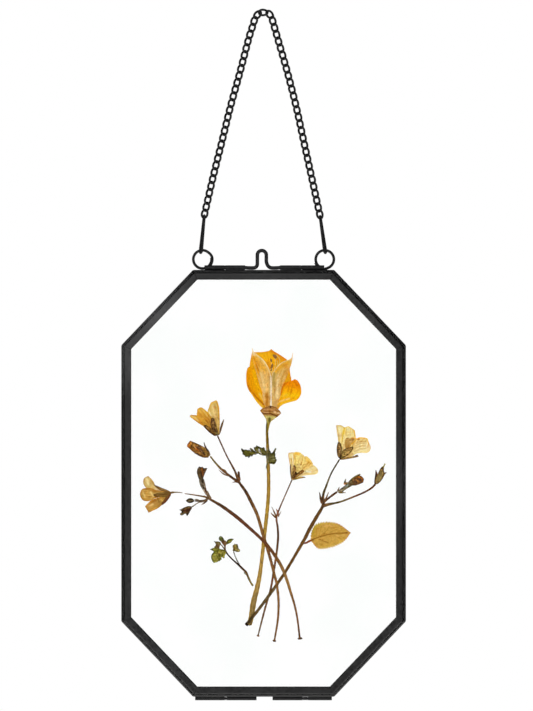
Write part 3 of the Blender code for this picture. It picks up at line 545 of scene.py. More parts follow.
def petal(view, spec):
    # A pressed sheet: the surface between four edge curves (left, right, base, tip), with
    # P(u, v) = (1 - v) left + v right + (1 - u) base + u tip - the corners' share. Its thickness
    # falls to nothing at the rim, and ripple lifts it by a few waves across and along. teeth is
    # how many and how deep: each rises evenly along the edge and drops back at once
    left, right = (onFrame(view, spec[side]) for side in ("left", "right"))
    depth, thickness = spec["depth"], spec.get("thickness", plantGrain["petalThickness"])
    size = max(np.ptp(left, axis=0).max(), np.ptp(right, axis=0).max())
    n = int(np.clip(size / plantGrain["spacing"], 8, 180))
    m = int(np.clip(np.linalg.norm(left - right[np.minimum(len(right) - 1, np.arange(len(left)))], axis=1).max()
                    / plantGrain["spacing"], 7, 130))
    left, right = smoothRoute(left, n), smoothRoute(right, n)
    teeth, toothDepth = spec.get("teeth", (0, 0.0))
    saw = (toothDepth * (np.linspace(0, teeth, n) % 1 - 0.5) * np.sin(np.pi * np.linspace(0, 1, n)) ** 0.4)[:, None]
    outwards = []
    for edge, other in ((left, right), (right, left)):
        run = unit(np.gradient(edge, axis=0))
        normal = np.stack([-run[:, 1], run[:, 0]], 1)
        outwards.append(saw * normal * np.sign(np.sum(normal * (edge - other), 1, keepdims=True)))
    left, right = left + outwards[0], right + outwards[1]
    ends = []
    for name, k in (("base", 0), ("tip", -1)):
        between = onFrame(view, spec[name]) if spec.get(name) else np.zeros((0, 2))
        ends.append(smoothRoute(np.concatenate([left[k:][:1], between, right[k:][:1]]), m))
    base, tip = ends
    u, v = np.linspace(0, 1, n)[:, None, None], np.linspace(0, 1, m)[None, :, None]
    flat = ((1 - v) * left[:, None] + v * right[:, None] + (1 - u) * base[None] + u * tip[None]
            - (1 - u) * ((1 - v) * left[0] + v * right[0]) - u * ((1 - v) * left[-1] + v * right[-1]))
    u, v = u[..., 0], v[..., 0]
    rim = np.sqrt(np.clip((1 - np.abs(2 * v - 1) ** 10) * (1 - np.abs(2 * u - 1) ** 14), 0.02, 1))
    seed = spec.get("seed", 1.0)
    ripple = spec.get("ripple", 0.03 * mm) * (
        np.sin(9 * v + 4 * u + seed) * np.sin(5 * u * v + 2 * seed) + 0.5 * np.sin(17 * v - 6 * u + 3 * seed))
    crown = spec.get("crown", 0.0) * np.sin(np.pi * v) * np.sin(np.pi * np.clip(u, 0, 1)) ** 0.5
    front = depth - crown + ripple - thickness / 2 * rim
    back = depth + ripple + thickness / 2 * rim
    rows = np.concatenate([
        np.stack([flat[..., 0], front, flat[..., 1]], -1),
        np.stack([flat[..., 0], back, flat[..., 1]], -1)[:, -2:0:-1]], 1)
    points, faces = skin(rows, caps=True)
    wide = np.linalg.norm(left - right[np.linspace(0, n - 1, n).astype(int)], axis=1).mean() / mm
    grain = np.stack([v * wide + 0 * u, u * size / mm + 0 * v, np.full((n, m), 3 * seed)], -1)
    # Veins run from base to tip, each at its own share of the way across, and waver a little
    count, veinTone, veinShare = spec.get("veins", (0, spec["tone"], 0))
    number = np.round(v * count)
    gap = v * count - number + 0.16 * np.sin(7 * u + 2.3 * number + seed)
    strength = veinShare * np.exp(-(gap / 0.24) ** 2) * (0.65 + 0.35 * np.sin(6 * u + 4.1 * number + 2 * seed))
    tone = np.asarray(spec["tone"], float)
    tone = tone + (strength * np.sin(np.pi * np.clip(v, 0.02, 0.98)) ** 0.5)[..., None] * (np.asarray(veinTone, float) - tone)
    tone, grain = (np.concatenate([part, part[:, -2:0:-1]], 1).reshape(-1, 3) for part in (tone, grain))
    strokes = list(spec.get("strokes", []))
    if spec.get("rim"):
        width, rimTone, share = spec["rim"]
        width *= 1.6
        strokes += [(spec[side], width, rimTone, share) for side in ("left", "right")]
        strokes += [([spec["left"][-1], *spec.get("tip", []), spec["right"][-1]], width, rimTone, share)]
    return points, faces, washed(points[:, [0, 2]], view, tone, strokes), grain


def stalk(view, line, widths, tones, depth, thickness=None, seed=1.0):
    # A pressed stalk: an oval carried along the line. widths are in millimetres from start to end,
    # and tones are (left, middle, right) colours from start to end, mixed along and across. The sides
    # are then darkened and the middle lifted: painted shade and a painted highlight across the round
    # stalk. At the very rim the colour goes to a lighter, warmer copy of the middle tone with most of its blue taken
    # out
    thickness = thickness or plantGrain["stalkThickness"]
    rough = onFrame(view, line)
    length = np.linalg.norm(np.diff(rough, axis=0), axis=1).sum()
    n = int(np.clip(length / (0.5 * mm), 8, 420))
    route = smoothRoute(rough, n)
    u = np.linspace(0, 1, n)
    width = mm * plantGrain["stalkWidth"] * np.interp(u, np.linspace(0, 1, len(widths)), widths)
    closing = np.sqrt(np.clip(1 - (1 - np.clip(np.minimum(u, 1 - u) * length / (0.25 * mm), 0, 1)) ** 2, 0.02, 1))
    uneven = 1 + 0.05 * np.sin(u * length / mm * 1.7 + seed) + 0.03 * np.sin(u * length / mm * 4.3 + 2 * seed)
    run = unit(np.gradient(route, axis=0))
    side = np.stack([run[:, 1], -run[:, 0]], 1)
    turn = np.linspace(0, 2 * np.pi, 16, endpoint=False)
    reach = (width / 2 * closing * uneven)[:, None] * np.cos(turn)
    flat = route[:, None] + reach[..., None] * side[:, None]
    deep = depth + np.minimum(thickness / 2, width * 0.42)[:, None] * closing[:, None] * np.sin(turn)
    points, faces = skin(np.stack([flat[..., 0], deep, flat[..., 1]], -1), caps=True)
    tones = np.asarray(tones, float)
    if tones.ndim == 2:
        tones = tones[None]
    spots = np.linspace(0, 1, len(tones)) if len(tones) > 1 else np.array([0.0])
    # Painted shade on the stalk's sides and a painted highlight along its middle, as a round stalk is lit
    leftTone, midTone, rightTone = (
        shade * np.stack([np.interp(u, spots, tones[:, k, c]) for c in range(3)], 1)[:, None]
        for k, shade in enumerate((plantGrain["edgeShade"], plantGrain["paintedCoreHighlight"], plantGrain["edgeShade"])))
    s = np.cos(turn)[None, :, None]
    colours = midTone + (np.where(s < 0, leftTone, rightTone) - midTone) * np.abs(s) ** 1.6
    rim = np.clip((np.abs(s) - 0.72) / 0.2, 0, 1)
    colours = colours + rim * (midTone * np.array(plantGrain["rimTint"]) - colours)
    grain = np.stack([np.broadcast_to(np.cos(turn) * 0.5 + 0.5, (n, 16)),
                      np.broadcast_to((u * length / (8 * mm))[:, None], (n, 16)), np.full((n, 16), seed)], -1)
    return points, faces, colours.reshape(-1, 3), grain.reshape(-1, 3)


def plant(name, shapes, finish, nodes=(), angle=60):
    # A dried piece: its shapes as one mesh, with their colours and the run of their fibres
    obj = piece(name, [shape[:2] for shape in shapes], finish, "back_half", nodes, angle)
    colours = np.concatenate([shape[2] for shape in shapes])
    tint = obj.data.attributes.new("tint", "FLOAT_COLOR", "POINT")
    tint.data.foreach_set("color", np.concatenate([ink(*colours.T).T, np.ones((len(colours), 1))], 1).astype(np.float32).ravel())
    grain = obj.data.attributes.new("grain", "FLOAT_VECTOR", "POINT")
    grain.data.foreach_set("vector", np.concatenate([shape[3] for shape in shapes]).astype(np.float32).ravel())
    return obj


plantFinishes = {
    "driedPetal": {"fibres": (1.5, 0.16, 1.0), "vein": ink(222, 168, 90), "veinShare": 0.85, "blotch": 900.0,
                   "light": (0.86, 1.1), "roughness": (0.55, 0.75), "relief": 0.00009, "gloss": 0.03},
    "driedStalk": {"fibres": (7.0, 3.0, 1.0), "vein": ink(150, 108, 70), "veinShare": 0.9, "blotch": 1300.0,
                   "light": (0.6, 1.36), "roughness": (0.5, 0.7), "relief": 0.00008, "gloss": 0.03},
    "driedLeaf": {"fibres": (1.8, 1.2, 1.0), "vein": ink(180, 150, 90), "veinShare": 0.8, "blotch": 1300.0,
                  "light": (0.24, 1.9), "roughness": (0.55, 0.8), "relief": 0.00010, "gloss": 0.03},
    "mustardSkin": {"fibres": (1.3, 0.5, 1.0), "vein": ink(214, 176, 110), "veinShare": 0.7, "blotch": 1300.0,
                    "light": (0.84, 1.14), "roughness": (0.55, 0.8), "relief": 0.00010, "gloss": 0.03},
}


def driedFinish(name):
    # The laid-on colour, darkened along the fibres, with small paler and darker blotches
    look = plantFinishes[name]
    made, tree, shader = material(name, {"Specular IOR Level": look["gloss"]})
    tint = tree.node("ShaderNodeAttribute", {"attribute_name": "tint"}, {}, "Color")
    grain = tree.node("ShaderNodeAttribute", {"attribute_name": "grain"}, {}, "Vector")
    fibres = noise(tree, stretched(tree, grain, look["fibres"]), 1.0, 4.0, 0.6)
    blotch = noise(tree, place(tree), look["blotch"], 3.0, 0.6)
    veined = tree.node("ShaderNodeMix", {"data_type": "RGBA", "blend_type": "MULTIPLY"},
                       {0: 1.0, 6: tint, 7: look["vein"]}, 2)
    streak = fibres.smooth(0.52, 0.7) * look["veinShare"]
    light = blotch.smooth(0.3, 0.7, *look["light"])
    lit = tree.node("ShaderNodeVectorMath", {"operation": "SCALE"}, {0: streak.blend(tint, veined), "Scale": light})
    height = fibres * 0.7 + blotch * 0.3
    raised = tree.node("ShaderNodeBump", {}, {"Strength": 0.6, "Distance": look["relief"], "Height": height})
    feed(shader, {"Base Color": lit, "Roughness": fibres.smooth(0.3, 0.7, *look["roughness"]), "Normal": raised})
    return made


driedPetal, driedStalk, driedLeaf, mustardSkin = (driedFinish(name) for name in plantFinishes)

# The big flower: a yellow back petal, two folded wings, two pale petals that meet in a ridge
cream, gold, orange, rust = (252, 228, 168), (246, 178, 24), (228, 122, 18), (170, 90, 22)
bigFlower = {
    "view": (235, 340, 14),
    "backPetal": {
        "depth": layer(4), "seed": 1.0, "tone": (247, 178, 20), "rim": (4, (244, 172, 12), 0.6),
        "left": [(440, 830), (330, 640), (235, 480), (205, 400), (207, 330), (222, 250), (238, 172)],
        "tip": [(290, 170), (370, 168), (440, 160), (482, 148), (508, 128), (530, 150), (580, 177),
                (643, 215), (704, 257)],
        "right": [(560, 830), (700, 680), (785, 570), (778, 500), (768, 420), (765, 350), (745, 290)],
        "strokes": [
            ([(300, 200), (400, 230), (480, 260)], 60, (251, 188, 24), 0.6),
            ([(520, 150), (600, 195), (710, 265)], 24, orange, 0.9),
            ([(300, 172), (440, 165), (505, 135)], 12, (240, 160, 20), 0.7),
            ([(640, 230), (720, 285)], 30, (236, 140, 20), 0.7),
            ([(235, 190), (212, 340), (205, 400)], 25, (240, 162, 34), 0.7),
            ([(470, 330), (500, 440)], 36, (232, 148, 26), 0.7),
            ([(590, 250), (600, 330), (560, 400)], 26, (240, 160, 30), 0.6),
            ([(775, 400), (788, 560)], 24, (232, 140, 18), 0.8),
        ]},
    "leftWing": {
        "depth": layer(3), "seed": 2.0, "tone": (238, 162, 0), "rim": (4, (248, 184, 10), 0.65),
        "left": [(400, 968), (345, 916), (290, 850), (235, 765), (190, 700), (162, 620), (155, 530),
                 (160, 450), (172, 400), (188, 380)],
        "tip": [(215, 374), (245, 380)],
        "right": [(440, 930), (410, 840), (390, 740), (340, 620), (310, 500), (290, 430), (268, 390)],
        "strokes": [
            ([(165, 440), (160, 560), (180, 640)], 34, (234, 144, 0), 0.85),
            ([(225, 440), (255, 560)], 20, (240, 150, 0), 0.6),
            ([(260, 440), (285, 560), (335, 690), (355, 750)], 26, (253, 188, 8), 0.85),
            ([(188, 384), (260, 388)], 12, (238, 150, 10), 0.7),
            ([(180, 640), (215, 716), (262, 760), (305, 810), (350, 850), (400, 905)], 8, (184, 92, 8), 0.9),
            ([(210, 740), (250, 800), (306, 870), (370, 936)], 18, (248, 214, 64), 0.95),
            ([(340, 880), (380, 925), (410, 950)], 14, (230, 180, 70), 0.8),
            ([(345, 750), (372, 806), (400, 850)], 15, (250, 212, 110), 0.75),
        ]},
    "rightWing": {
        "depth": layer(3), "seed": 3.0, "tone": (250, 176, 4), "rim": (4, (248, 176, 8), 0.6),
        "left": [(560, 950), (565, 890), (590, 820), (606, 750), (630, 680), (665, 615), (712, 588)],
        "tip": [(775, 572), (800, 566), (835, 549)],
        "right": [(608, 968), (640, 925), (700, 892), (790, 866), (860, 845), (905, 800), (928, 740),
                  (926, 680), (908, 615), (872, 562)],
        "strokes": [
            ([(690, 605), (780, 585), (850, 565), (900, 630)], 36, (236, 124, 0), 0.9),
            ([(740, 640), (820, 640), (900, 680)], 34, (240, 142, 0), 0.7),
            ([(705, 590), (672, 650), (652, 720), (640, 760)], 13, (212, 104, 8), 0.85),
            ([(800, 700), (900, 760)], 34, (250, 180, 4), 0.7),
            ([(700, 760), (780, 770), (880, 790)], 34, (254, 204, 20), 0.85),
            ([(660, 790), (720, 770)], 20, (250, 200, 60), 0.7),
            ([(575, 900), (620, 862), (690, 842), (760, 820)], 15, (246, 204, 128), 0.85),
            ([(600, 930), (660, 895), (740, 872), (830, 848)], 13, (250, 210, 60), 0.9),
            ([(585, 955), (620, 915)], 14, (206, 142, 62), 0.75),
            ([(840, 600), (870, 640)], 8, (206, 90, 4), 0.5), ([(790, 640), (830, 668)], 7, (222, 116, 4), 0.5),
        ]},
    "leftPetal": {
        "depth": layer(2), "seed": 4.0, "tone": (238, 190, 104), "crown": 0.05 * mm,
        "left": [(430, 940), (400, 880), (387, 800), (382, 730), (350, 640), (320, 540), (290, 430),
                 (262, 330), (246, 240), (238, 118)],
        "right": [(502, 930), (503, 800), (504, 650), (503, 540), (498, 470), (470, 385), (440, 335),
                  (400, 278), (345, 232), (298, 193), (262, 160), (247, 118)],
        "strokes": [
            ([(290, 270), (340, 350), (400, 410)], 44, (244, 176, 40), 0.75),
            ([(262, 240), (300, 380), (345, 500)], 16, (236, 150, 14), 0.8),
            ([(345, 480), (375, 600)], 16, (224, 160, 74), 0.6),
            ([(350, 300), (400, 460), (450, 640)], 8, (222, 156, 70), 0.5),
            ([(300, 300), (350, 480), (380, 600)], 8, (216, 144, 50), 0.6),
            ([(420, 400), (460, 520), (478, 640)], 8, (216, 158, 80), 0.5),
            ([(380, 420), (430, 560), (450, 700)], 7, (246, 208, 132), 0.6),
            ([(360, 470), (400, 620), (412, 700), (404, 770)], 20, (246, 214, 148), 0.75),
            ([(390, 800), (400, 860), (420, 910)], 12, (230, 176, 100), 0.6),
            ([(440, 760), (455, 830), (445, 910)], 26, (184, 114, 28), 0.85),
            ([(425, 790), (470, 800)], 10, (176, 106, 28), 0.6),
            ([(480, 520), (485, 750), (480, 860)], 11, (210, 176, 112), 0.6),
            ([(250, 140), (300, 199), (350, 239), (400, 285), (440, 342), (470, 392), (495, 450)], 10, cream, 0.95),
            ([(240, 110), (248, 150), (262, 200)], 20, (251, 226, 184), 0.85),
            ([(505, 470), (505, 700), (502, 915)], 9, (250, 246, 228), 1.0),
        ]},
    "rightPetal": {
        "depth": layer(2) + 0.02 * mm, "seed": 5.0, "tone": (228, 186, 106), "crown": 0.05 * mm,
        "left": [(506, 930), (506, 800), (507, 650), (510, 540), (518, 480), (545, 430), (590, 372),
                 (640, 322), (700, 292), (760, 270), (795, 240), (805, 182)],
        "right": [(592, 945), (600, 870), (630, 800), (645, 700), (672, 630), (705, 560), (735, 490),
                  (762, 410), (788, 340), (805, 260), (812, 182)],
        "strokes": [
            ([(570, 430), (640, 370), (740, 320)], 40, (238, 168, 34), 0.8),
            ([(700, 350), (740, 400), (720, 470)], 30, (224, 150, 50), 0.7),
            # Painted shadow beside the ridge where the two pale petals meet
            ([(550, 470), (540, 560), (548, 640)], 20, (168, 142, 70), 0.75),
            ([(545, 660), (540, 780)], 16, (212, 176, 110), 0.6),
            ([(606, 500), (594, 620), (588, 720), (590, 820)], 20, (246, 222, 164), 0.85),
            ([(640, 500), (616, 640), (622, 760)], 7, (226, 176, 98), 0.5),
            ([(700, 430), (655, 540), (640, 640)], 12, (204, 138, 50), 0.7),
            ([(650, 420), (600, 540)], 9, (206, 146, 60), 0.6), ([(600, 440), (575, 560), (565, 700)], 7, (196, 150, 74), 0.5),
            ([(790, 350), (760, 430), (700, 570), (660, 650)], 13, (232, 156, 60), 0.7),
            ([(570, 840), (560, 920)], 22, (218, 162, 92), 0.7),
            ([(610, 840), (600, 930)], 10, (200, 134, 58), 0.6),
            ([(800, 235), (760, 270), (700, 292), (640, 322), (590, 372), (545, 428), (520, 480)], 9, cream, 0.9),
            ([(810, 180), (798, 260)], 24, (246, 200, 146), 0.8),
            ([(508, 500), (507, 700), (505, 915)], 7, (250, 246, 228), 1.0),
        ]},
    "calyx": {
        "depth": layer(1), "seed": 6.0, "tone": (184, 138, 68), "thickness": 0.2 * mm,
        "left": [(455, 1284), (447, 1220), (440, 1160), (434, 1112), (402, 1060), (374, 1022), (350, 990)],
        "tip": [(374, 962), (410, 950), (440, 936), (470, 930), (490, 918), (510, 928), (536, 938), (566, 936),
                (600, 966), (626, 990)],
        "right": [(466, 1284), (480, 1215), (500, 1150), (520, 1128), (558, 1100), (602, 1068), (646, 1026)],
        "strokes": [
            ([(400, 975), (470, 968), (550, 980)], 10, (214, 154, 96), 0.7),
            ([(400, 996), (450, 1000), (520, 996), (560, 1012)], 5, (136, 78, 38), 0.85), ([(420, 958), (480, 950), (520, 958)], 5, (150, 96, 54), 0.7),
            ([(430, 1072), (500, 1084), (556, 1090)], 20, (214, 206, 120), 0.95),
            ([(458, 1140), (460, 1280)], 22, (154, 138, 42), 0.9), ([(448, 1150), (449, 1280)], 7, (60, 46, 10), 0.9),
            ([(484, 1096), (488, 1140)], 16, (82, 82, 30), 0.95),
            ([(430, 1078), (452, 1120), (462, 1160)], 6, (216, 206, 122), 0.8),
            ([(530, 1085), (512, 1122), (496, 1150)], 6, (196, 184, 90), 0.7),
            ([(376, 1020), (420, 1032), (490, 1030), (560, 1052), (596, 1070)], 9, (96, 46, 18), 0.95),
            ([(352, 990), (374, 964), (410, 950), (440, 938), (490, 920)], 6, (132, 70, 32), 0.85),
            ([(512, 930), (540, 940), (566, 938), (600, 968), (640, 1020)], 6, (140, 78, 36), 0.85),
            ([(400, 1010), (470, 1018)], 5, (226, 176, 120), 0.7),
            ([(545, 1004), (590, 1018), (630, 1030)], 11, (250, 222, 170), 0.9),
            ([(560, 975), (600, 1006)], 5, (128, 66, 30), 0.7), ([(590, 1046), (630, 1036)], 5, (126, 68, 34), 0.7),
            ([(440, 950), (430, 1000)], 4, (150, 90, 48), 0.5), ([(530, 950), (540, 1000)], 4, (150, 90, 48), 0.5),
            ([(496, 922), (498, 942)], 10, (54, 32, 24), 0.95),
        ]},
    "filaments": [
        [(515, 490), (522, 430), (514, 360), (506, 310), (498, 270)],
        [(530, 485), (552, 410), (566, 330), (560, 270), (548, 232)],
        [(545, 455), (600, 365), (626, 305), (616, 255), (588, 218), (560, 204)],
        [(520, 480), (500, 420), (516, 370), (524, 340)],
        [(540, 470), (580, 390), (596, 330), (588, 280)],
    ],
    "anthers": [([(530, 204), (548, 222), (562, 238), (578, 262)], 1.15), ([(560, 206), (574, 224), (584, 246)], 0.7),
                ([(500, 258), (504, 280), (512, 312)], 0.75), ([(526, 328), (520, 362), (504, 400)], 0.95),
                ([(516, 400), (510, 420), (500, 434)], 0.55)],
    "stem": {
        "line": [(267.6, 418), (267, 430), (267.5, 444), (268.2, 463.7), (268.6, 479), (268.5, 493),
                 (267.5, 507), (266.1, 521), (264.2, 537), (262.7, 552), (259.9, 574), (257.1, 588),
                 (253.6, 602), (251.5, 615.6), (249.2, 625.6)],
        "widths": [0.85, 1.25, 1.5, 1.55, 1.6, 1.62, 1.65, 1.6, 2.05, 2.55, 2.1],
        "tones": [((40, 34, 0), (110, 94, 0), (150, 130, 0)), ((66, 50, 20), (140, 106, 34), (166, 130, 40)),
                  ((116, 90, 36), (170, 134, 58), (150, 114, 40)), ((134, 104, 38), (178, 142, 58), (150, 114, 34)),
                  ((150, 114, 44), (190, 152, 70), (162, 124, 42)), ((156, 120, 50), (190, 152, 76), (166, 126, 50)),
                  ((126, 104, 50), (170, 140, 82), (180, 132, 44)), ((96, 76, 22), (146, 120, 74), (136, 106, 40))],
    },
}


def makeBigFlower():
    view = bigFlower["view"]
    sheets = {key: petal(view, spec) for key, spec in bigFlower.items() if isinstance(spec, dict) and "tone" in spec}
    for key, slot, node in (
            ("backPetal", "orange_petal", "back_petal"), ("leftWing", "orange_petal", "left_wing"),
            ("rightWing", "orange_petal", "right_wing"), ("leftPetal", "pale_petal", "left_petal"),
            ("rightPetal", "pale_petal", "right_petal"), ("calyx", "brown_sepal", "calyx")):
        finish = mustardSkin if key == "calyx" else driedPetal
        plant("bigFlower" + key[0].upper() + key[1:], [sheets[key]], finish, [f"big_flower_{node}"])
    depth = layer(3) + 0.1 * mm
    threads = [stalk(view, line, [0.35, 0.4, 0.35], [((226, 160, 40), (250, 214, 120), (232, 170, 60))], depth, 0.1 * mm)
               for line in bigFlower["filaments"]]
    anthers = [stalk(view, line, [width * 0.6, width, width * 0.7], [((120, 80, 40), (156, 108, 66), (130, 84, 44))],
                     depth - 0.06 * mm, 0.14 * mm) for line, width in bigFlower["anthers"]]
    plant("bigFlowerStamens", threads + anthers, driedPetal)
    stem = bigFlower["stem"]
    plant("bigFlowerStem", [stalk(wholeView, stem["line"], stem["widths"], stem["tones"], layer(4), 0.3 * mm)],
          driedStalk, ["big_flower_stem"])


makeBigFlower()
print("stage: big flower")


# The small flowers and buds: thin yellow petals with brown sepals, on two branching stems
straw, amber, ochre, umber, olive = (246, 216, 136), (238, 176, 60), (222, 164, 78), (112, 74, 32), (140, 112, 48)
stemTones = {
    "red": ((70, 34, 20), (122, 74, 48), (78, 40, 24)), "brown": ((82, 50, 28), (140, 94, 58), (80, 48, 26)),
    "tan": ((86, 56, 26), (146, 102, 58), (90, 58, 28)), "gold": ((112, 78, 38), (176, 134, 78), (120, 84, 44)), "grey": ((92, 66, 40), (130, 96, 62), (96, 68, 42)),
    "dark": ((58, 36, 22), (96, 62, 36), (60, 38, 24)), "green": ((84, 66, 34), (128, 106, 56), (88, 72, 36)),
    "moss": ((70, 58, 22), (104, 88, 44), (74, 62, 26)), "deep": ((46, 38, 12), (78, 64, 26), (50, 42, 14)),
    "umber": ((96, 44, 4), (98, 52, 10), (96, 44, 4)), "slate": ((70, 66, 56), (98, 94, 84), (72, 68, 58)),
    "oak": ((72, 48, 20), (116, 80, 40), (70, 46, 18)), "drab": ((66, 52, 28), (106, 84, 52), (68, 52, 28)), "ash": ((100, 80, 66), (146, 124, 106), (104, 82, 68)), "node": ((46, 34, 24), (76, 58, 44), (48, 36, 26)), "bark": ((36, 18, 8), (56, 30, 16), (36, 18, 8)),
}


def sprayPiece(spec, key, name, finish, node):
    # One piece of a spray: its sheets, then its stalks as (line, widths, tones)
    part = spec[key]
    depth = part["depth"]
    shapes = []
    for k, sheet in enumerate(part.get("sheets", [])):
        shapes.append(petal(part.get("view", spec["view"]), {
            "depth": depth + sheet.get("lift", 0) * mm, "seed": k + 1.7 * len(name), **sheet}))
    for k, (line, widths, tones) in enumerate(part.get("stalks", [])):
        tones = [stemTones[tone] if isinstance(tone, str) else tone for tone in tones]
        shapes.append(stalk(part.get("view", spec["view"]), line, widths, tones, depth, part.get("thickness"), k + 0.5))
    plant(name, shapes, finish, [node] if node else ())


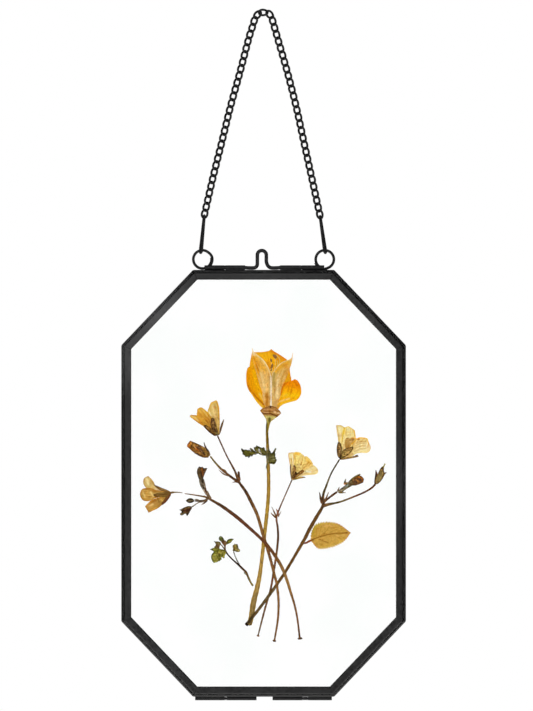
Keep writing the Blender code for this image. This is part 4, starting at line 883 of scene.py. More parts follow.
upperLeft = {
    "view": (183, 398, 16),
    "petals": {"depth": layer(2), "sheets": [
        {"lift": -0.03, "tone": (228, 172, 58), "veins": (4, (206, 140, 50), 0.6), "rim": (7, (206, 150, 40), 0.8),
         "left": [(510, 604), (430, 534), (330, 456), (250, 404), (180, 352), (118, 306)],
         "tip": [(108, 294), (122, 272)],
         "right": [(540, 560), (460, 470), (360, 380), (280, 310), (225, 278), (140, 270)],
         "strokes": [([(140, 290), (190, 310), (250, 360)], 13, (247, 214, 134), 0.85), ([(190, 350), (300, 425)], 8, (208, 140, 60), 0.7),
                     ([(240, 330), (300, 390)], 9, (214, 130, 40), 0.6), ([(300, 380), (400, 470)], 26, (216, 160, 60), 0.6),
                     ([(340, 390), (390, 420)], 8, (150, 104, 40), 0.6), ([(130, 274), (225, 286)], 7, (226, 160, 50), 0.7)]},
        {"lift": 0.0, "tone": (226, 176, 66), "veins": (6, (200, 128, 38), 0.7), "rim": (7, (214, 160, 44), 0.75),
         "left": [(520, 596), (420, 480), (330, 380), (262, 318), (222, 278), (226, 215), (232, 172)],
         "tip": [(262, 156), (292, 149), (318, 162), (345, 182)],
         "right": [(556, 585), (540, 480), (496, 380), (446, 292), (410, 240), (380, 212)],
         "strokes": [([(236, 190), (250, 250), (262, 300)], 10, (222, 140, 44), 0.6), ([(250, 190), (290, 240)], 9, (248, 200, 96), 0.6),
                     ([(300, 180), (350, 230), (400, 300)], 9, (247, 204, 104), 0.7), ([(270, 240), (300, 300)], 8, (206, 124, 36), 0.75),
                     ([(240, 292), (262, 306)], 12, (216, 110, 30), 0.7), ([(310, 340), (330, 352)], 10, (206, 128, 46), 0.6),
                     ([(330, 250), (380, 330), (420, 390)], 7, (210, 138, 40), 0.7), ([(370, 360), (400, 400)], 12, (158, 112, 44), 0.65),
                     ([(400, 300), (440, 350)], 9, (196, 130, 50), 0.6), ([(420, 380), (450, 420)], 14, (170, 120, 50), 0.75),
                     ([(430, 440), (500, 540)], 36, (176, 128, 50), 0.75), ([(350, 420), (400, 450)], 12, (206, 160, 60), 0.7)]},
        {"lift": 0.03, "tone": (222, 190, 108), "veins": (5, (202, 146, 66), 0.75), "rim": (8, (222, 172, 60), 0.8),
         "left": [(540, 596), (510, 480), (460, 380), (420, 290), (394, 212), (412, 160), (428, 108)],
         "tip": [(455, 66), (485, 58), (510, 42), (536, 38)],
         "right": [(574, 592), (586, 500), (590, 400), (588, 300), (585, 230), (578, 140), (556, 66)],
         "strokes": [([(404, 206), (430, 250), (456, 300)], 12, (253, 240, 186), 0.95), ([(470, 130), (490, 210), (520, 300)], 24, (248, 222, 152), 0.7),
                     ([(430, 125), (455, 78), (520, 55)], 13, (240, 184, 74), 0.8), ([(540, 60), (562, 100)], 14, (206, 142, 44), 0.8),
                     ([(552, 90), (572, 190), (576, 330)], 9, (222, 164, 50), 0.85), ([(498, 140), (502, 160)], 9, (214, 140, 76), 0.75),
                     ([(446, 120), (452, 200)], 7, (226, 178, 84), 0.6), ([(555, 310), (575, 345)], 10, (176, 126, 66), 0.8),
                     ([(582, 320), (584, 420), (574, 500)], 6, (150, 104, 44), 0.8), ([(540, 380), (560, 460)], 9, (248, 216, 130), 0.7),
                     ([(480, 290), (520, 330)], 10, (214, 172, 100), 0.6), ([(545, 460), (566, 560)], 8, (200, 160, 70), 0.6),
                     ([(450, 300), (520, 420), (550, 540)], 20, (190, 142, 66), 0.6)]},
    ]},
    "sepals": {"depth": layer(1), "sheets": [
        {"tone": (146, 106, 50), "veins": (3, (84, 56, 28), 0.8), "rim": (5, (66, 42, 22), 0.9), "left": [(506, 610), (434, 562), (384, 516), (330, 458)], "tip": [(344, 436)],
         "right": [(548, 600), (520, 540), (470, 500), (415, 462), (372, 430)],
         "strokes": [([(345, 455), (400, 515), (510, 600)], 11, (70, 44, 24), 0.95), ([(350, 440), (410, 446)], 12, (84, 54, 36), 0.85),
                     ([(400, 470), (440, 520), (500, 560)], 7, (178, 134, 60), 0.7), ([(430, 500), (510, 580)], 5, (92, 62, 28), 0.7),
                     ([(390, 460), (430, 490)], 8, (150, 112, 60), 0.6)]},
        {"lift": -0.05, "tone": (138, 102, 56), "veins": (3, (78, 52, 30), 0.8), "rim": (5, (74, 50, 28), 0.8),
         "left": [(528, 604), (480, 520), (452, 470), (442, 420), (446, 370), (452, 330)], "tip": [(470, 314)],
         "right": [(566, 598), (560, 540), (545, 480), (530, 420), (512, 366), (496, 322)],
         "strokes": [([(460, 330), (462, 380)], 9, (88, 60, 40), 0.8), ([(490, 330), (510, 400)], 9, (150, 116, 74), 0.7),
                     ([(455, 460), (480, 490)], 10, (86, 58, 32), 0.85), ([(500, 500), (516, 530)], 11, (64, 44, 26), 0.85),
                     ([(530, 430), (555, 500), (566, 570)], 7, (190, 150, 70), 0.85), ([(480, 540), (530, 570)], 9, (170, 134, 60), 0.7),
                     ([(535, 560), (548, 590)], 8, (140, 140, 84), 0.8), ([(470, 420), (480, 450)], 7, (120, 86, 44), 0.7),
                     ([(515, 596), (545, 600)], 7, (84, 76, 36), 0.8)]},
        {"lift": -0.05, "tone": (108, 78, 40), "left": [(550, 606), (578, 560), (594, 470), (622, 390), (650, 338)],
         "right": [(584, 588), (606, 540), (628, 470), (648, 400), (659, 342)],
         "strokes": [([(656, 345), (640, 390)], 8, (120, 90, 50), 0.7), ([(620, 400), (600, 470), (588, 540)], 6, (70, 50, 26), 0.8),
                     ([(580, 550), (575, 580)], 8, (150, 120, 66), 0.7)]},
    ]},
    "bud": {"depth": layer(2), "sheets": [
        {"lift": 0.02, "tone": (136, 90, 38), "thickness": 0.2 * mm, "veins": (5, (84, 54, 24), 0.7), "rim": (5, (110, 68, 28), 0.75),
         "left": [(400, 956), (330, 954), (260, 928), (190, 886), (130, 836), (64, 776)], "tip": [(70, 742), (90, 712)],
         "right": [(438, 905), (425, 860), (398, 820), (330, 780), (240, 734), (165, 702), (112, 682)],
         "strokes": [([(112, 704), (88, 758)], 26, (222, 130, 36), 0.9), ([(130, 720), (180, 770), (200, 800)], 9, (214, 160, 96), 0.7),
                     ([(150, 702), (240, 740)], 10, (120, 80, 40), 0.7), ([(150, 740), (230, 770)], 7, (208, 150, 70), 0.7),
                     ([(110, 790), (170, 838)], 7, (120, 78, 34), 0.7), ([(216, 786), (250, 776), (290, 796)], 10, (92, 62, 44), 0.85),
                     ([(216, 810), (240, 840)], 11, (200, 104, 36), 0.85), ([(290, 820), (320, 870), (350, 900)], 11, (70, 52, 36), 0.9),
                     ([(260, 800), (300, 850)], 7, (160, 116, 80), 0.7), ([(310, 790), (360, 820), (400, 870)], 10, (176, 140, 60), 0.8),
                     ([(330, 860), (390, 900)], 7, (150, 130, 56), 0.7), ([(200, 860), (280, 905), (360, 930)], 8, (132, 92, 42), 0.7),
                     ([(380, 940), (420, 900)], 9, (96, 80, 36), 0.8), ([(240, 915), (330, 944)], 8, (64, 46, 22), 0.85), ([(230, 790), (262, 812)], 8, (70, 48, 36), 0.8), ([(260, 870), (300, 890)], 8, (190, 140, 70), 0.6)]},
        {"lift": -0.08, "tone": (88, 62, 34), "left": [(424, 930), (400, 880), (366, 830), (342, 770), (330, 712)],
         "right": [(440, 905), (420, 856), (390, 810), (362, 760), (342, 708)],
         "strokes": [([(335, 715), (350, 770), (380, 820)], 6, (56, 38, 24), 0.8), ([(400, 850), (425, 900)], 6, (120, 90, 44), 0.7)]},
        {"lift": -0.06, "tone": (70, 50, 26), "left": [(262, 918), (225, 900), (186, 890)], "right": [(258, 896), (225, 882), (190, 874)]},
    ]},
    "stem": {"view": wholeView, "depth": layer(2), "stalks": [
        ([(217.4, 435.4), (226.4, 455.1), (235, 471.3), (238.5, 481), (245.6, 491.4), (251.6, 502.7), (257.0, 514.2),
          (260.9, 526.8), (263.8, 537.4), (266.8, 546.3), (270.5, 559.2), (274.2, 574), (276.6, 583.4), (278.3, 597.1),
          (278.5, 609.2), (277.5, 622.1), (274.3, 641.1)],
         [0.62, 0.6, 1.1, 1.5, 1.4, 1.4, 1.25, 1.1, 0.97, 0.75],
         ["umber", "umber", "dark", "dark", "tan", "tan", "brown", "tan", "tan", "tan", "tan"]),
        ([(210.2, 456.0), (214.0, 461.0), (220.7, 468.5), (230, 476), (236.0, 480.4), (239.5, 482.5)], [0.7, 0.8, 1.0, 1.0, 1.1, 1.2],
         ["green", "green", "brown", "dark", "dark"]),
        ([(228.6, 476.0), (223.4, 473.8), (218.6, 469.4)], [0.6, 0.6, 0.2], ["ash", "grey"]),
        ([(227.6, 474.6), (225.2, 470.6), (222.6, 468.8)], [0.7, 0.7, 0.2], ["ash", "grey"]),
        ([(239.5, 482.5), (235.6, 481.8), (231.8, 482.6)], [1.0, 0.6, 0.15], ["dark", "brown"]),
        ([(238.6, 480), (236.8, 475.2), (234.4, 469.6)], [1.0, 1.0, 0.3], ["brown", "grey"]),
        ([(239.6, 481), (238.9, 475.6), (238.6, 471.0)], [1.3, 1.0, 0.9], ["brown", "dark", "dark"]),
        ([(274.5, 639.6), (274.1, 641.8)], [1.4, 1.5], ["dark"]),
    ]},
}

farLeft = {
    "view": (128, 432, 10),
    "petals": {"depth": layer(1) + 0.12 * mm, "sheets": [
        {"lift": 0.04, "tone": (224, 196, 124), "veins": (4, (210, 168, 92), 0.7), "rim": (4.5, (196, 142, 64), 0.8),
         "left": [(430, 600), (330, 590), (240, 575), (180, 556), (156, 520), (151, 490)],
         "tip": [(162, 462), (182, 448)], "right": [(432, 598), (350, 570), (280, 540), (258, 500), (232, 466), (202, 440)],
         "strokes": [([(165, 480), (190, 540), (240, 560)], 6, (226, 184, 100), 0.6), ([(225, 480), (255, 520), (280, 545)], 6, (176, 128, 60), 0.7),
                     ([(185, 470), (205, 520)], 14, (251, 236, 178), 0.8), ([(275, 570), (330, 590)], 9, (252, 242, 214), 0.9),
                     ([(230, 560), (260, 580)], 6, (240, 206, 120), 0.7)]},
        {"lift": 0.0, "tone": (212, 170, 86), "veins": (6, (176, 122, 48), 0.8), "rim": (5, (180, 118, 36), 0.9),
         "left": [(430, 612), (340, 640), (270, 664), (230, 684), (190, 692), (150, 682), (126, 650)],
         "tip": [(120, 622), (126, 596), (140, 572)], "right": [(430, 600), (340, 590), (280, 580), (240, 562), (195, 558), (160, 562)],
         "strokes": [([(180, 600), (190, 630)], 12, (214, 158, 70), 0.65), ([(150, 600), (170, 650)], 8, (248, 214, 134), 0.7),
                     ([(230, 600), (250, 640)], 10, (248, 218, 140), 0.75), ([(200, 590), (240, 575)], 6, (214, 162, 76), 0.7),
                     ([(240, 680), (330, 655)], 9, (250, 230, 160), 0.85), ([(160, 665), (210, 672)], 6, (206, 150, 60), 0.6)]},
        {"lift": -0.04, "tone": (202, 154, 74), "veins": (4, (160, 112, 44), 0.8), "rim": (4.5, (190, 130, 36), 0.85),
         "left": [(434, 618), (380, 690), (340, 728), (300, 762), (250, 786), (206, 808)],
         "tip": [(196, 786), (182, 762)], "right": [(428, 606), (370, 634), (320, 648), (270, 666), (222, 690), (170, 744)],
         "strokes": [([(172, 748), (196, 786), (207, 806)], 6, (206, 128, 22), 0.95), ([(208, 740), (250, 720)], 10, (246, 214, 140), 0.8),
                     ([(196, 724), (240, 694)], 5, (232, 176, 84), 0.7), ([(260, 710), (300, 720)], 7, (196, 140, 66), 0.7),
                     ([(262, 672), (280, 690)], 6, (180, 124, 50), 0.7), ([(300, 668), (312, 700)], 7, (140, 100, 44), 0.85),
                     ([(330, 676), (350, 690)], 9, (226, 190, 90), 0.8), ([(350, 650), (400, 636)], 8, (150, 120, 50), 0.8),
                     ([(300, 740), (340, 706)], 7, (170, 128, 50), 0.75), ([(230, 780), (290, 756)], 6, (232, 180, 80), 0.7),
                     ([(340, 720), (370, 690)], 7, (190, 150, 60), 0.7)]},
    ]},
    "sepals": {"depth": layer(2), "sheets": [
        {"lift": -0.515, "thickness": 0.05 * mm, "ripple": 0.006 * mm, "tone": (134, 94, 44), "rim": (3, (98, 64, 34), 0.7), "left": [(436, 612), (390, 600), (330, 584), (296, 566), (262, 530)],
         "right": [(434, 604), (400, 582), (350, 562), (300, 541), (266, 527)],
         "strokes": [([(270, 532), (300, 546)], 7, (84, 54, 34), 0.8), ([(330, 568), (410, 596)], 4, (190, 154, 90), 0.7),
                     ([(350, 586), (400, 602)], 3.5, (112, 76, 40), 0.7)]},
        {"lift": -0.52, "thickness": 0.05 * mm, "ripple": 0.006 * mm, "tone": (126, 92, 42), "rim": (3, (96, 70, 32), 0.7), "left": [(436, 614), (400, 640), (340, 648), (290, 650), (262, 640)], "tip": [(255, 626)],
         "right": [(434, 604), (400, 598), (350, 602), (300, 608), (266, 618)],
         "strokes": [([(258, 630), (290, 622)], 8, (110, 78, 38), 0.7), ([(310, 628), (400, 620)], 4, (100, 72, 32), 0.8),
                     ([(290, 612), (380, 606)], 4, (180, 146, 74), 0.7), ([(320, 640), (400, 630)], 4, (168, 132, 60), 0.7)]},
        {"lift": -0.525, "thickness": 0.05 * mm, "ripple": 0.006 * mm, "tone": (124, 78, 42), "rim": (3, (88, 50, 26), 0.8), "left": [(432, 628), (405, 672), (378, 704), (344, 732)], "tip": [(336, 722)],
         "right": [(424, 614), (396, 636), (366, 670), (334, 712)],
         "strokes": [([(344, 722), (380, 690), (428, 630)], 5, (92, 50, 26), 0.85), ([(380, 664), (420, 622)], 4, (170, 120, 60), 0.7)]},
    ], "stalks": [
        ([(428, 606), (455, 603), (490, 602), (520, 604), (548, 609)], [1.2, 0.7, 0.5, 0.4, 0.3], ["tan", "green", "grey"]),
    ]},
    "upperBud": {"depth": layer(1), "sheets": [
        {"tone": (84, 64, 40), "thickness": 0.2 * mm, "veins": (3, (52, 38, 24), 0.8), "rim": (4, (56, 42, 28), 0.8),
         "left": [(712, 476), (698, 440), (689, 400), (696, 366), (713, 342)],
         "tip": [(722, 356), (730, 352), (742, 346), (752, 352), (756, 364), (772, 360)], "right": [(748, 478), (760, 440), (772, 410), (784, 382), (795, 361)],
         "strokes": [([(738, 362), (746, 384), (742, 410)], 10, (150, 82, 26), 0.8), ([(716, 390), (722, 450)], 5, (120, 96, 56), 0.7),
                     ([(775, 368), (762, 400)], 6, (130, 92, 60), 0.7), ([(730, 400), (733, 440)], 5, (44, 32, 22), 0.8),
                     ([(750, 400), (752, 440)], 5, (150, 84, 40), 0.7), ([(715, 470), (745, 474)], 6, (96, 92, 66), 0.7)]},
        {"lift": 0.01, "tone": (112, 98, 80), "veins": (3, (70, 54, 40), 0.6), "left": [(796, 652), (766, 610), (742, 570), (720, 530), (710, 490), (712, 466)],
         "right": [(820, 650), (798, 606), (782, 560), (774, 520), (766, 490), (756, 466)],
         "strokes": [([(716, 500), (738, 556), (770, 606)], 5, (170, 164, 148), 0.85), ([(738, 485), (748, 506)], 7, (44, 34, 24), 0.95),
                     ([(766, 510), (778, 560), (800, 610)], 4, (86, 50, 36), 0.85), ([(748, 530), (756, 560)], 5, (52, 38, 28), 0.9),
                     ([(760, 520), (770, 550)], 4, (170, 156, 130), 0.8), ([(760, 580), (785, 630)], 4, (176, 150, 128), 0.75),
                     ([(728, 520), (736, 540)], 4, (60, 50, 36), 0.8), ([(770, 580), (795, 625)], 3, (90, 40, 30), 0.8)]},
    ]},
    "smallBud": {"depth": layer(1), "sheets": [
        {"tone": (74, 60, 38), "thickness": 0.2 * mm, "veins": (3, (44, 36, 22), 0.8), "rim": (4, (32, 26, 12), 0.9),
         "left": [(664, 694), (640, 706), (612, 710), (592, 700), (577, 686)],
         "right": [(664, 684), (650, 668), (625, 660), (600, 667), (578, 684)],
         "strokes": [([(605, 690), (640, 688)], 6, (122, 108, 80), 0.65)]},
    ]},
    "lowerBud": {"depth": layer(1), "sheets": [
        {"tone": (98, 72, 42), "thickness": 0.2 * mm, "veins": (3, (60, 38, 26), 0.7), "rim": (4, (56, 44, 26), 0.75),
         "left": [(640, 762), (618, 800), (604, 826), (588, 842)],
         "tip": [(582, 820), (570, 812), (556, 826), (538, 834), (522, 826), (520, 814), (540, 802), (536, 788)],
         "right": [(636, 742), (600, 740), (560, 754), (532, 770), (512, 776)],
         "strokes": [([(518, 779), (560, 762), (620, 745)], 5, (120, 104, 56), 0.85), ([(526, 824), (560, 812)], 7, (116, 100, 56), 0.85),
                     ([(560, 786), (600, 786), (620, 770)], 10, (84, 40, 26), 0.8), ([(590, 832), (628, 775)], 5, (48, 36, 24), 0.85),
                     ([(538, 792), (560, 786)], 4, (40, 30, 20), 0.8), ([(570, 760), (610, 756)], 4, (130, 90, 56), 0.7)]},
    ]},
    "stem": {"view": wholeView, "depth": layer(1), "stalks": [
        ([(184.6, 493.5), (193.9, 494.8), (204.4, 496.7), (209.5, 499), (220.7, 505.3), (230.3, 512), (239.9, 519.5),
          (249.3, 527.8), (258.5, 536.1), (265.9, 543.5), (272.4, 551.8), (277.9, 560.1), (282.5, 568.6), (286.8, 579.7),
          (290.9, 592.8), (294.5, 604.8), (297.4, 618.7), (299.8, 638.8)],
         [0.38, 0.76, 1.45, 1.6, 1.35, 1.4, 1.45, 1.35, 1.0, 0.84, 0.84],
         ["grey", "grey", "dark", "red", "red", "red", "tan", "gold", "tan", "brown", "dark"]),
        ([(208.2, 498.8), (204.2, 500.3), (200.4, 500.8), (194.4, 500.9)], [1.0, 0.8, 0.9, 0.6], ["grey", "node", "ash"]),
        ([(199.6, 500.4), (196.4, 499.4), (194.2, 499.9)], [0.5, 0.6, 0.3], ["ash"]),
        ([(208.4, 499.2), (203.6, 501.4), (198.0, 502.8), (191.6, 507.2)], [0.6, 0.5, 0.4, 0.6], ["grey", "ash", "moss"]),
        ([(207.6, 500.2), (204.6, 502.6), (201.2, 505.0)], [0.8, 0.7, 0.2], ["node", "grey"]),
        ([(207.4, 497.8), (205.2, 496.2), (203.2, 495.6)], [0.7, 0.5, 0.2], ["red", "ash"]),
        ([(210.2, 499.6), (208.0, 494.0), (206.6, 490.6)], [1.8, 1.3, 0.9], ["grey", "ash"]),
        ([(299.9, 637.2), (300.2, 639.4)], [1.9, 2.1], ["dark"]),
    ]},
}

middle = {
    "view": (268, 440, 16),
    "petals": {"depth": layer(3), "sheets": [
        {"lift": -0.04, "tone": (254, 240, 176), "veins": (3, (226, 184, 104), 0.6), "rim": (7, (226, 180, 110), 0.75),
         "left": [(376, 620), (362, 540), (354, 450), (342, 360), (330, 290), (323, 240)],
         "tip": [(330, 208), (370, 198)], "right": [(400, 628), (410, 540), (416, 440), (414, 350), (412, 280), (408, 197)],
         "strokes": [([(345, 230), (360, 330)], 14, (252, 230, 170), 0.7), ([(392, 240), (396, 320), (400, 390)], 7, (254, 246, 214), 0.9),
                     ([(376, 300), (384, 400)], 6, (232, 196, 90), 0.6), ([(370, 420), (384, 600)], 12, (226, 190, 108), 0.6),
                     ([(335, 216), (400, 202)], 7, (228, 180, 120), 0.6)]},
        {"lift": 0.0, "tone": (253, 232, 142), "veins": (6, (238, 192, 102), 0.45), "rim": (6, (240, 200, 112), 0.5),
         "left": [(388, 630), (398, 500), (404, 400), (404, 300), (402, 205)],
         "tip": [(440, 190), (478, 191), (512, 198), (538, 218)], "right": [(420, 632), (480, 540), (540, 460), (580, 390), (600, 320), (575, 250)],
         "strokes": [([(440, 215), (490, 225)], 18, (250, 184, 48), 0.85), ([(416, 240), (420, 290)], 8, (234, 162, 56), 0.75),
                     ([(500, 240), (520, 225)], 10, (250, 214, 110), 0.7), ([(440, 290), (460, 340)], 12, (250, 214, 112), 0.7),
                     ([(530, 250), (520, 330), (536, 400)], 8, (218, 172, 92), 0.55), ([(560, 260), (548, 320)], 7, (220, 170, 84), 0.7),
                     ([(430, 380), (446, 400)], 10, (206, 150, 40), 0.6), ([(470, 388), (486, 400)], 8, (170, 122, 56), 0.65),
                     ([(500, 396), (512, 420)], 12, (244, 220, 160), 0.8), ([(500, 380), (530, 392)], 6, (186, 136, 66), 0.6),
                     ([(440, 430), (470, 450)], 12, (204, 162, 80), 0.7), ([(480, 430), (520, 450)], 8, (178, 132, 66), 0.55),
                     ([(460, 480), (500, 500)], 16, (216, 176, 90), 0.7), ([(425, 240), (440, 360)], 5, (222, 164, 60), 0.6)]},
        {"lift": 0.03, "tone": (251, 220, 130), "veins": (6, (234, 188, 100), 0.45), "rim": (6, (226, 188, 100), 0.55),
         "left": [(405, 632), (470, 520), (520, 420), (550, 320), (576, 268)],
         "tip": [(612, 258), (650, 282), (686, 322)], "right": [(425, 634), (520, 560), (620, 490), (700, 420), (722, 384)],
         "strokes": [([(600, 290), (650, 320)], 14, (248, 208, 100), 0.7), ([(620, 330), (680, 370)], 14, (248, 194, 70), 0.7),
                     ([(560, 330), (600, 400)], 14, (250, 216, 120), 0.7), ([(590, 270), (604, 300)], 8, (196, 156, 90), 0.6),
                     ([(640, 350), (700, 384)], 6, (218, 162, 66), 0.6), ([(560, 400), (620, 380)], 5, (210, 158, 70), 0.6),
                     ([(540, 440), (580, 450)], 10, (226, 186, 96), 0.7)]},
        {"lift": -0.02, "tone": (251, 230, 166), "veins": (5, (232, 194, 118), 0.5), "rim": (6, (246, 214, 130), 0.65),
         "left": [(398, 630), (470, 560), (560, 500), (640, 450), (710, 396)],
         "tip": [(762, 424), (792, 464), (804, 500)], "right": [(430, 636), (500, 592), (560, 574), (640, 560), (740, 552), (790, 536)],
         "strokes": [([(570, 480), (640, 442), (712, 404)], 17, (204, 158, 84), 0.85), ([(590, 456), (700, 400)], 5, (176, 126, 60), 0.6),
                     ([(780, 460), (800, 505), (788, 530)], 12, (248, 218, 154), 0.75), ([(610, 500), (680, 510)], 14, (253, 246, 224), 0.85),
                     ([(600, 500), (610, 520)], 6, (170, 150, 80), 0.6), ([(700, 480), (750, 470)], 9, (238, 200, 120), 0.6),
                     ([(640, 548), (760, 540)], 8, (242, 200, 92), 0.75), ([(560, 545), (640, 530)], 6, (228, 184, 96), 0.6),
                     ([(700, 510), (712, 512)], 6, (222, 156, 84), 0.6)]},
    ]},
    "sepals": {"depth": layer(2), "sheets": [
        {"tone": (140, 106, 60), "left": [(370, 624), (358, 560), (350, 480), (351, 420), (360, 384)],
         "right": [(392, 630), (378, 560), (370, 480), (370, 430), (367, 388)],
         "strokes": [([(361, 392), (362, 450)], 8, (92, 64, 38), 0.85), ([(356, 440), (364, 540)], 4, (104, 74, 40), 0.8),
                     ([(372, 520), (384, 610)], 5, (180, 144, 80), 0.7)]},
        {"tone": (158, 116, 62), "veins": (2, (110, 74, 42), 0.7), "left": [(378, 628), (382, 540), (388, 470), (402, 420), (414, 398)],
         "right": [(412, 630), (432, 560), (450, 490), (450, 440), (428, 404)],
         "strokes": [([(416, 410), (430, 450)], 9, (130, 84, 52), 0.8), ([(400, 430), (392, 500), (386, 570)], 5, (206, 164, 84), 0.8),
                     ([(440, 430), (442, 470)], 7, (112, 82, 40), 0.7), ([(420, 470), (424, 500)], 7, (170, 124, 70), 0.7)]},
        {"lift": -0.04, "tone": (84, 54, 28), "left": [(384, 612), (398, 560), (416, 520), (440, 504)],
         "right": [(412, 622), (440, 586), (468, 552), (462, 514)],
         "strokes": [([(400, 584), (414, 566)], 9, (48, 32, 20), 0.9), ([(436, 520), (450, 530)], 10, (56, 34, 18), 0.85),
                     ([(430, 560), (440, 572)], 6, (140, 100, 50), 0.7), ([(404, 548), (410, 530)], 5, (140, 104, 60), 0.7)]},
        {"lift": 0.02, "tone": (150, 104, 50), "veins": (2, (104, 66, 30), 0.7), "rim": (5, (112, 72, 32), 0.7),
         "left": [(392, 632), (440, 560), (490, 512), (530, 484), (562, 474)],
         "right": [(420, 636), (470, 588), (520, 556), (560, 528), (584, 500)],
         "strokes": [([(540, 500), (566, 488)], 10, (104, 64, 30), 0.85), ([(450, 584), (520, 530)], 5, (190, 144, 70), 0.7),
                     ([(480, 572), (540, 534)], 4, (112, 72, 32), 0.7)]},
        {"tone": (172, 142, 68), "rim": (4, (122, 92, 40), 0.7), "left": [(386, 632), (440, 610), (500, 590), (560, 584), (598, 594)],
         "right": [(400, 644), (450, 634), (510, 618), (560, 608), (600, 604)],
         "strokes": [([(550, 596), (598, 600)], 8, (104, 72, 42), 0.9), ([(430, 606), (540, 586)], 7, (216, 188, 96), 0.8),
                     ([(420, 634), (450, 628)], 8, (110, 100, 44), 0.8)]},
    ]},
    "stem": {"view": wholeView, "depth": layer(4), "stalks": [
        ([(292.3, 479.1), (285.6, 494.4), (279.3, 509.1), (276.5, 517.6), (277.7, 527.8), (278.1, 537), (277.2, 548.0),
          (275.4, 561.0), (273.3, 574), (270.7, 588.9), (266.9, 601.9), (262.9, 616.5), (258, 636)],
         [0.58, 0.54, 0.8, 1.0, 0.92, 0.95, 0.92, 0.82, 0.58], ["dark", "brown", "red", "dark", "brown", "red", "brown", "oak", "drab"]),
        ([(277.0, 518.6), (274.4, 512.4), (271.4, 506.4)], [0.9, 0.6, 0.2], ["grey", "tan"]),
        ([(276.2, 518.0), (273.6, 515.6), (270.4, 512.4)], [0.9, 0.7, 0.2], ["brown", "tan"]),
        ([(278.0, 517.4), (279.6, 514.0), (281.4, 511.0)], [0.6, 0.4, 0.2], ["grey", "tan"]),
        ([(278.0, 516.0), (277.6, 511.8), (276.2, 508.6)], [1.0, 0.9, 0.3], [((120, 60, 44), (150, 96, 72), (120, 64, 46))]),
        ([(258.4, 634.6), (257.8, 636.6)], [1.0, 1.2], ["tan"]),
    ]},
}

